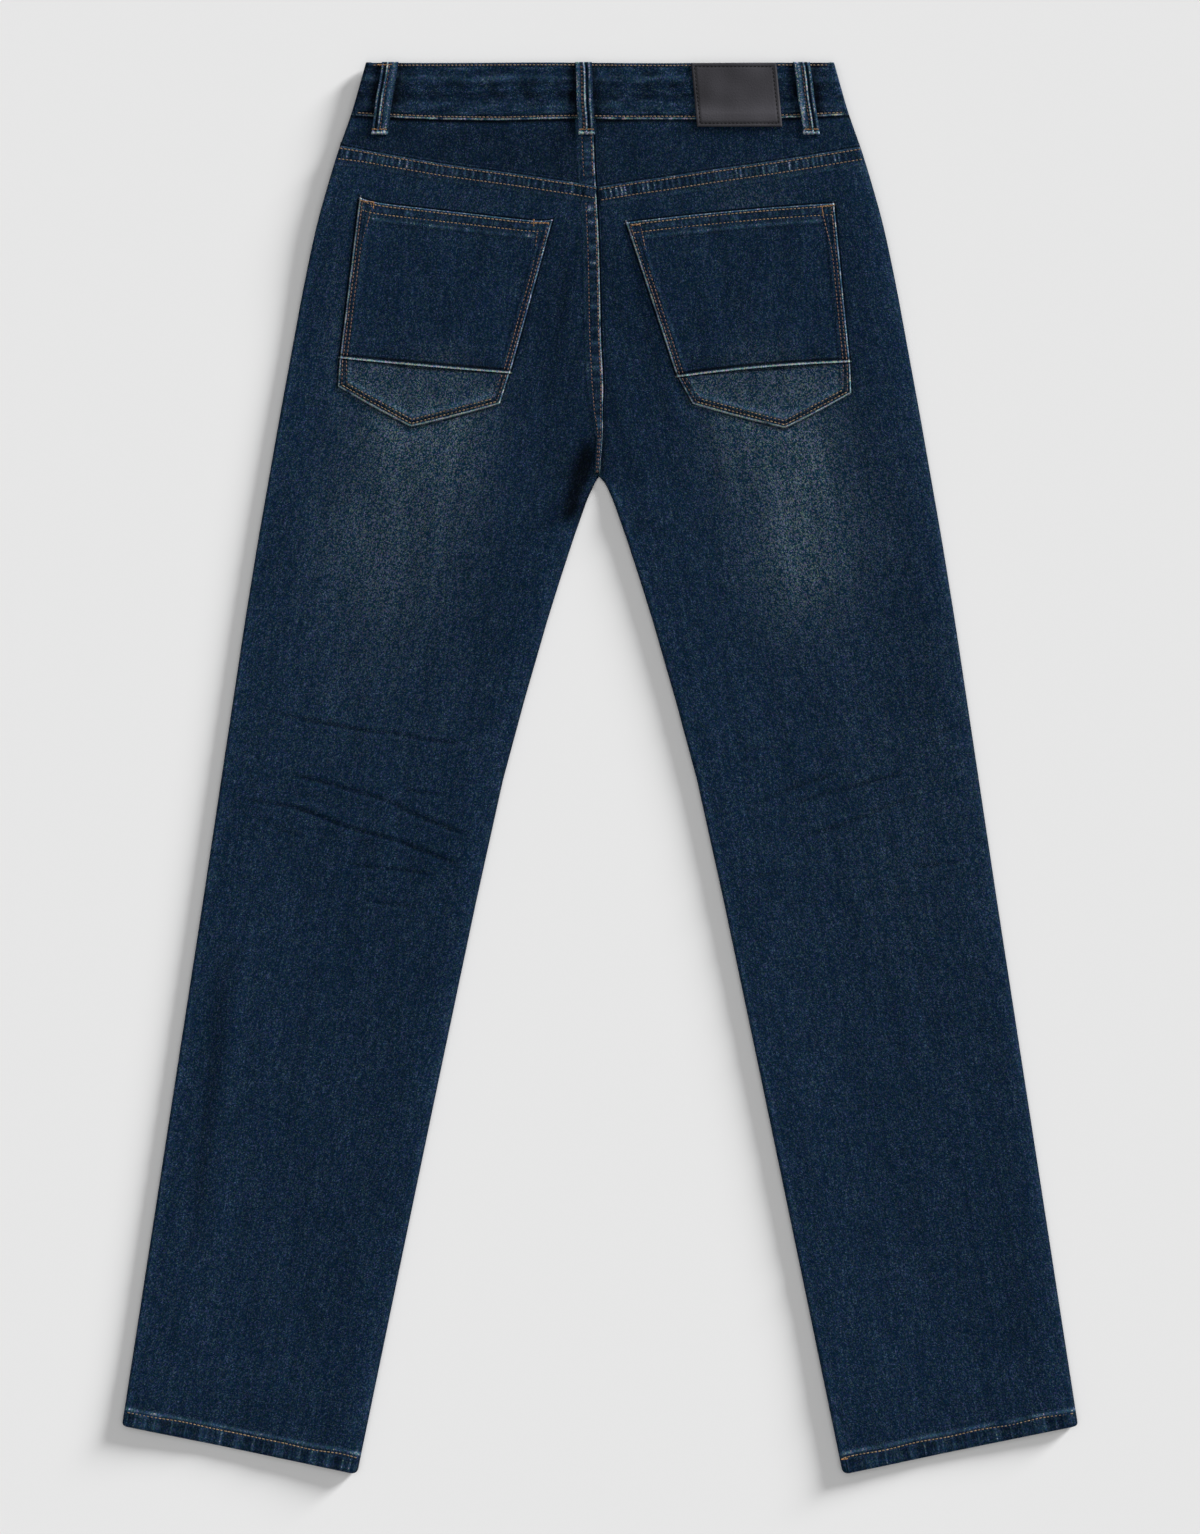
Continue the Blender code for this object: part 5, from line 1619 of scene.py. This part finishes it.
def worn_and_shaded_group():
    """Colour of denim from its yarns and from its wear, fade and shade masks.

    Wear is rubbed pale blue, then near white, and in places a painted highlight. Shade is painted shade, and
    painted light where it is below 0.
    """
    floats = (("Flecks", 1.0), ("Fine Flecks", 1.0), ("Mottle", 0.5))
    inputs = [(label, FLOAT, value) for label, value in floats]
    inputs += [("Tint", COLOUR, (0.5, 0.5, 0.5, 1)), ("Extra Fade", FLOAT, 0.0)]
    inputs += [(label, COLOUR, (0, 0, 0, 1)) for label in DENIM_COLOURS]
    tree, given, out = new_group("worn_cloth", inputs, [("Color", COLOUR)])
    wear, shade, fade = (mask(tree, name) for name in ("wear", "shade", "fade"))
    plain = vector_maths(tree, "MULTIPLY_ADD", given["Fleck"], given["Flecks"], given["Base"])
    faded = vector_maths(tree, "MULTIPLY_ADD", given["Faded Fleck"], given["Fine Flecks"], given["Faded"])
    colour = mix_colour(tree, maths(tree, "ADD", fade, given["Extra Fade"]), plain, faded)
    broken = maths(tree, "MULTIPLY", wear, maths(tree, "MULTIPLY_ADD", given["Flecks"], 0.4, 0.6))
    broken = maths(tree, "MINIMUM", broken, 1.0)
    colour = mix_colour(tree, maths(tree, "MULTIPLY", broken, 1.6), colour, given["Rubbed"])
    colour = mix_colour(tree, maths(tree, "MULTIPLY_ADD", broken, 1.5, -0.45), colour, given["Worn"])
    tint = vector_maths(tree, "MULTIPLY_ADD", given["Tint"], (0.95, 0.6, 0.7), (0.525, 0.7, 0.65))
    colour = vector_maths(tree, "MULTIPLY", colour, tint)
    # Painted shade from the shade mask darkens the colour; below 0 it is painted light
    keep = maths(tree, "SUBTRACT", 1.0, shade)
    tone = maths(tree, "MULTIPLY_ADD", given["Mottle"], 0.16, 0.92)
    inputs = {0: colour, "Scale": maths(tree, "MULTIPLY", keep, tone)}
    tree.links.new(node(tree, "ShaderNodeVectorMath", inputs, operation="SCALE").outputs[0], out["Color"])
    return tree


def grain_group():
    """Fine grain of leather, thread or metal: its colour and its height."""
    tree, given, out = new_group(
        "fine_grain",
        [("Size", FLOAT, 900.0), ("Dark", COLOUR, (0, 0, 0, 1)), ("Light", COLOUR, (1, 1, 1, 1))],
        [("Color", COLOUR), ("Height", FLOAT)],
    )
    place = node(tree, "ShaderNodeTexCoord").outputs["Object"]
    fine = noise(tree, place, given["Size"], 3.0, 0.6)
    spread = node(tree, "ShaderNodeMapRange", {0: fine, 1: 0.3, 2: 0.7, 3: 0.0, 4: 1.0}).outputs[0]
    tree.links.new(mix_colour(tree, spread, given["Dark"], given["Light"]), out["Color"])
    tree.links.new(fine, out["Height"])
    return tree


def new_material(name, roughness, specular, metallic=0.0):
    material = bpy.data.materials.new(name)
    material.use_nodes = True
    shader = material.node_tree.nodes["Principled BSDF"]
    for label, value in (("Roughness", roughness), ("Specular IOR Level", specular), ("Metallic", metallic)):
        shader.inputs[label].default_value = value
    return material, material.node_tree, shader


def connect(tree, shader, colour, height, strength, distance):
    """Feeds a shader with a colour, and with a bump of a height's strength and distance."""
    inputs = {"Height": height, "Strength": strength, "Distance": distance}
    tree.links.new(colour, shader.inputs["Base Color"])
    tree.links.new(node(tree, "ShaderNodeBump", inputs).outputs["Normal"], shader.inputs["Normal"])


def rgba(colour):
    return (*colour, 1.0)


def grain_material(name, grain, finish):
    """Leather, thread or metal from its finish. With a sheen colour, its wear mask shows that colour as a
    painted highlight.
    """
    material, tree, shader = new_material(name, finish.roughness, finish.specular, finish.metallic)
    inputs = {"Size": finish.size, "Dark": rgba(finish.dark), "Light": rgba(finish.light)}
    fine = node(tree, "ShaderNodeGroup", inputs, node_tree=grain).outputs
    colour = fine["Color"]
    if finish.sheen:
        colour = mix_colour(tree, mask(tree, "wear"), colour, rgba(finish.sheen))
    connect(tree, shader, colour, fine["Height"], finish.bump, finish.bump_distance)
    return material


def denim_material(name, yarns, worn, slant, contrast=1.0, extra_fade=0.0, turned=0.0):
    """Denim whose yarns lean by slant. turned is 1 where they run along x, as in the waistband."""
    material, tree, shader = new_material(name, 0.92, 0.03)
    inputs = {"Slant": slant, "Turned": turned}
    inputs.update({"Contrast": contrast * FLECK_CONTRAST, "Level": contrast * FLECK_LEVEL})
    yarn = node(tree, "ShaderNodeGroup", inputs, node_tree=yarns).outputs
    inputs = {label: rgba(colour) for label, colour in DENIM_COLOURS.items()}
    inputs.update({label: yarn[label] for label in ("Flecks", "Fine Flecks", "Mottle", "Tint")})
    inputs["Extra Fade"] = extra_fade
    cloth = node(tree, "ShaderNodeGroup", inputs, node_tree=worn).outputs
    connect(tree, shader, cloth["Color"], yarn["Height"], 0.35, 0.00025)
    return material


# Light, floor and camera
DOME_LIGHT = 0.158
DOME_SEEN = 0.791
FLOOR_REACH = 6.0
FLOOR_LEVEL = -0.0003
FLOOR_COLOUR = (0.8, 0.8, 0.8)
CAMERA_HEIGHT = 3.413


def make_world():
    """A white dome: dim as a light, and brighter where the camera sees it."""
    world = bpy.data.worlds.new("studio")
    bpy.context.scene.world = world
    world.use_nodes = True
    tree = world.node_tree
    tree.nodes.clear()
    dome, seen = (
        node(tree, "ShaderNodeBackground", {"Color": (1, 1, 1, 1), "Strength": strength}).outputs[0]
        for strength in (DOME_LIGHT, DOME_SEEN)
    )
    ray = node(tree, "ShaderNodeLightPath").outputs["Is Camera Ray"]
    both = node(tree, "ShaderNodeMixShader", {0: ray, 1: dome, 2: seen})
    node(tree, "ShaderNodeOutputWorld", {"Surface": both.outputs[0]})


def make_sun(name, energy, disc, elevation, turn):
    """A soft far light: its disc, its height above the floor, and its turn from +x, in degrees."""
    light = bpy.data.lights.new(name, "SUN")
    light.energy = energy
    light.angle = math.radians(disc)
    lamp = bpy.data.objects.new(name, light)
    lamp.rotation_euler = (math.radians(90 - elevation), 0, math.radians(turn + 90))
    bpy.context.scene.collection.objects.link(lamp)


def make_floor():
    mesh = bpy.data.meshes.new("floor")
    corners = ((-1, -1), (1, -1), (1, 1), (-1, 1))
    corners = [(x * FLOOR_REACH, y * FLOOR_REACH, FLOOR_LEVEL) for x, y in corners]
    mesh.from_pydata(corners, [], [(0, 1, 2, 3)])
    floor = bpy.data.objects.new("floor", mesh)
    bpy.context.scene.collection.objects.link(floor)
    material, _, shader = new_material("floor_paper", 1.0, 0.0)
    shader.inputs["Base Color"].default_value = rgba(FLOOR_COLOUR)
    mesh.materials.append(material)


def make_camera():
    data = bpy.data.cameras.new("camera")
    data.lens = 100
    data.sensor_width = 36
    data.clip_end = 50
    camera = bpy.data.objects.new("camera", data)
    camera.location = (0, 0, CAMERA_HEIGHT)
    bpy.context.scene.collection.objects.link(camera)
    bpy.context.scene.camera = camera


def make_threads(threads, seam_rows, centre_rows, patch_rows):
    """All the stitching, each group of rows joined into one mesh."""
    thread_mesh("stitching_yoke_seams", seam_rows, threads["copper_thread"])
    thread_mesh("stitching_centre_seam", centre_rows, threads["dark_copper_thread"])
    thread_mesh("stitching_waistband", band_rows(), threads["copper_thread"])
    for pocket in POCKETS:
        bright, dark = ([(path, back_height, lift) for path, lift in rows] for rows in pocket_threads(pocket))
        thread_mesh("stitching_pocket_" + pocket.name, bright, threads["golden_thread"])
        thread_mesh("stitching_pocket_sides_" + pocket.name, dark, threads["dark_copper_thread"])
    paths = [hem_path(side, HEM_TURN) for side, _ in SIDES]
    thread_mesh("stitching_hems", [(path, back_skin, HEM_LIFT) for path in paths], threads["golden_thread"])
    front = front_threads() + front_band_rows() + [(path, front_height, FRONT_SINK) for path in paths]
    thread_mesh("stitching_front", front, threads["copper_thread"], up=-1)
    thread_mesh("stitching_loops", loop_rows(), threads["dark_copper_thread"], LOOP_THREAD_RADIUS)
    tack_mesh("bar_tacks", loop_tacks() + pocket_tacks(), threads["tack_thread"])
    thread_mesh("stitching_patch", patch_rows, threads["black_thread"], PATCH_THREAD_RADIUS)


def loop_rows():
    """The stitching down the middle of the back belt loops."""
    shares = np.linspace(0.05, 0.93, 40)
    rows = []
    for name, ends in BACK_LOOPS.items():
        for place in LOOP_MARKS[name].stitches:
            path = pairs(loop_middle(ends, shares) + place, shares * LOOP_LENGTH)
            rows.append((path, loop_top, LOOP_LIFT))
    return rows


def loop_top(x, drop):
    """Top of a back belt loop."""
    bulge = LOOP_BULGE * np.sin(math.pi * np.clip(drop / LOOP_LENGTH, 0, 1))
    return cover_top(x, drop) + LAYER_GAP + bulge + LOOP_THICKNESS + 0.1


# Bar tacks at the corners of the pockets and on the right hem: ends (x, drop), and lift over the back panel
POCKET_TACKS = (
    (((-191.2, 111.6), (-180.8, 113.2)), 1.75), (((-180.8, 113.2), (-181.0, 118)), 1.7),
    (((-52.8, 127.0), (-53.0, 132.2)), 1.7), (((-52.8, 129.0), (-41.2, 129.6)), 1.75),
    (((176.0, 116.4), (187.0, 115.2)), 1.75), (((25.6, 131.2), (31.5, 130.6)), 1.75),
    (((177.2, 117.0), (178.0, 122)), 1.7), (((193.0, 1117.6), (197.6, 1116.8)), 0.45),
)


def loop_tacks():
    """The bar tacks at the lower ends of the back belt loops, and at the top of the left one."""
    low = LOOP_LENGTH - LOOP_TACK_RISE
    tacks = [((end - 5.6, low), (end + 5.6, low), TACK_WIDTH) for _, end in BACK_LOOPS.values()]
    tacks.append(((-178.0, 2.6), (-166.0, 2.3), 1.3))
    return [(*tack, loop_top, LOOP_TACK_LIFT) for tack in tacks]


def pocket_tacks():
    return [(*points, TACK_WIDTH, back_height, lift) for points, lift in POCKET_TACKS]


def main():
    bpy.context.scene.view_settings.view_transform = "Standard"
    make_world()
    make_sun("key", energy=6.91, disc=15, elevation=12.5, turn=39.7)
    make_sun("fill", energy=1.135, disc=80, elevation=90, turn=0.0)
    make_floor()
    make_camera()
    yarns, worn, grain = yarn_group(), worn_and_shaded_group(), grain_group()
    leg_denim = denim_material("denim_legs", yarns, worn, 0.2)
    top_denim = denim_material("denim_top", yarns, worn, 0.02)
    band_denim = denim_material("denim_band", yarns, worn, 0.0, contrast=1.1, turned=1.0)
    loop_denim = denim_material("denim_loops", yarns, worn, 0.0, extra_fade=0.05)
    finishes = {name: grain_material(name, grain, finish) for name, finish in FINISHES.items()}
    make_fronts(top_denim)
    make_back_legs(leg_denim)
    make_hem_folds(leg_denim)
    make_yokes(top_denim)
    seam_rows, centre_rows = make_seams(leg_denim)
    make_waistband(band_denim)
    for name, ends in BACK_LOOPS.items():
        make_loop("belt_loop_back_" + name, ends, LOOP_MARKS[name], cover_top, 1, 0.0, loop_denim)
    for name, ends in FRONT_LOOPS.items():
        first = float(front_dip(ends[0]))
        make_loop("belt_loop_front_" + name, ends, LOOP_MARKS["left"], cover_under, -1, first, loop_denim)
    patch_rows = [(line, cover_top, PATCH_LIFT) for line in make_patch(finishes["patch_leather"])]
    for pocket in POCKETS:
        make_pocket(pocket, top_denim)
    make_threads(finishes, seam_rows, centre_rows, patch_rows)
    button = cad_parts["waist_button"]
    button.data.materials.clear()
    button.data.materials.append(finishes["aged_brass"])


main()
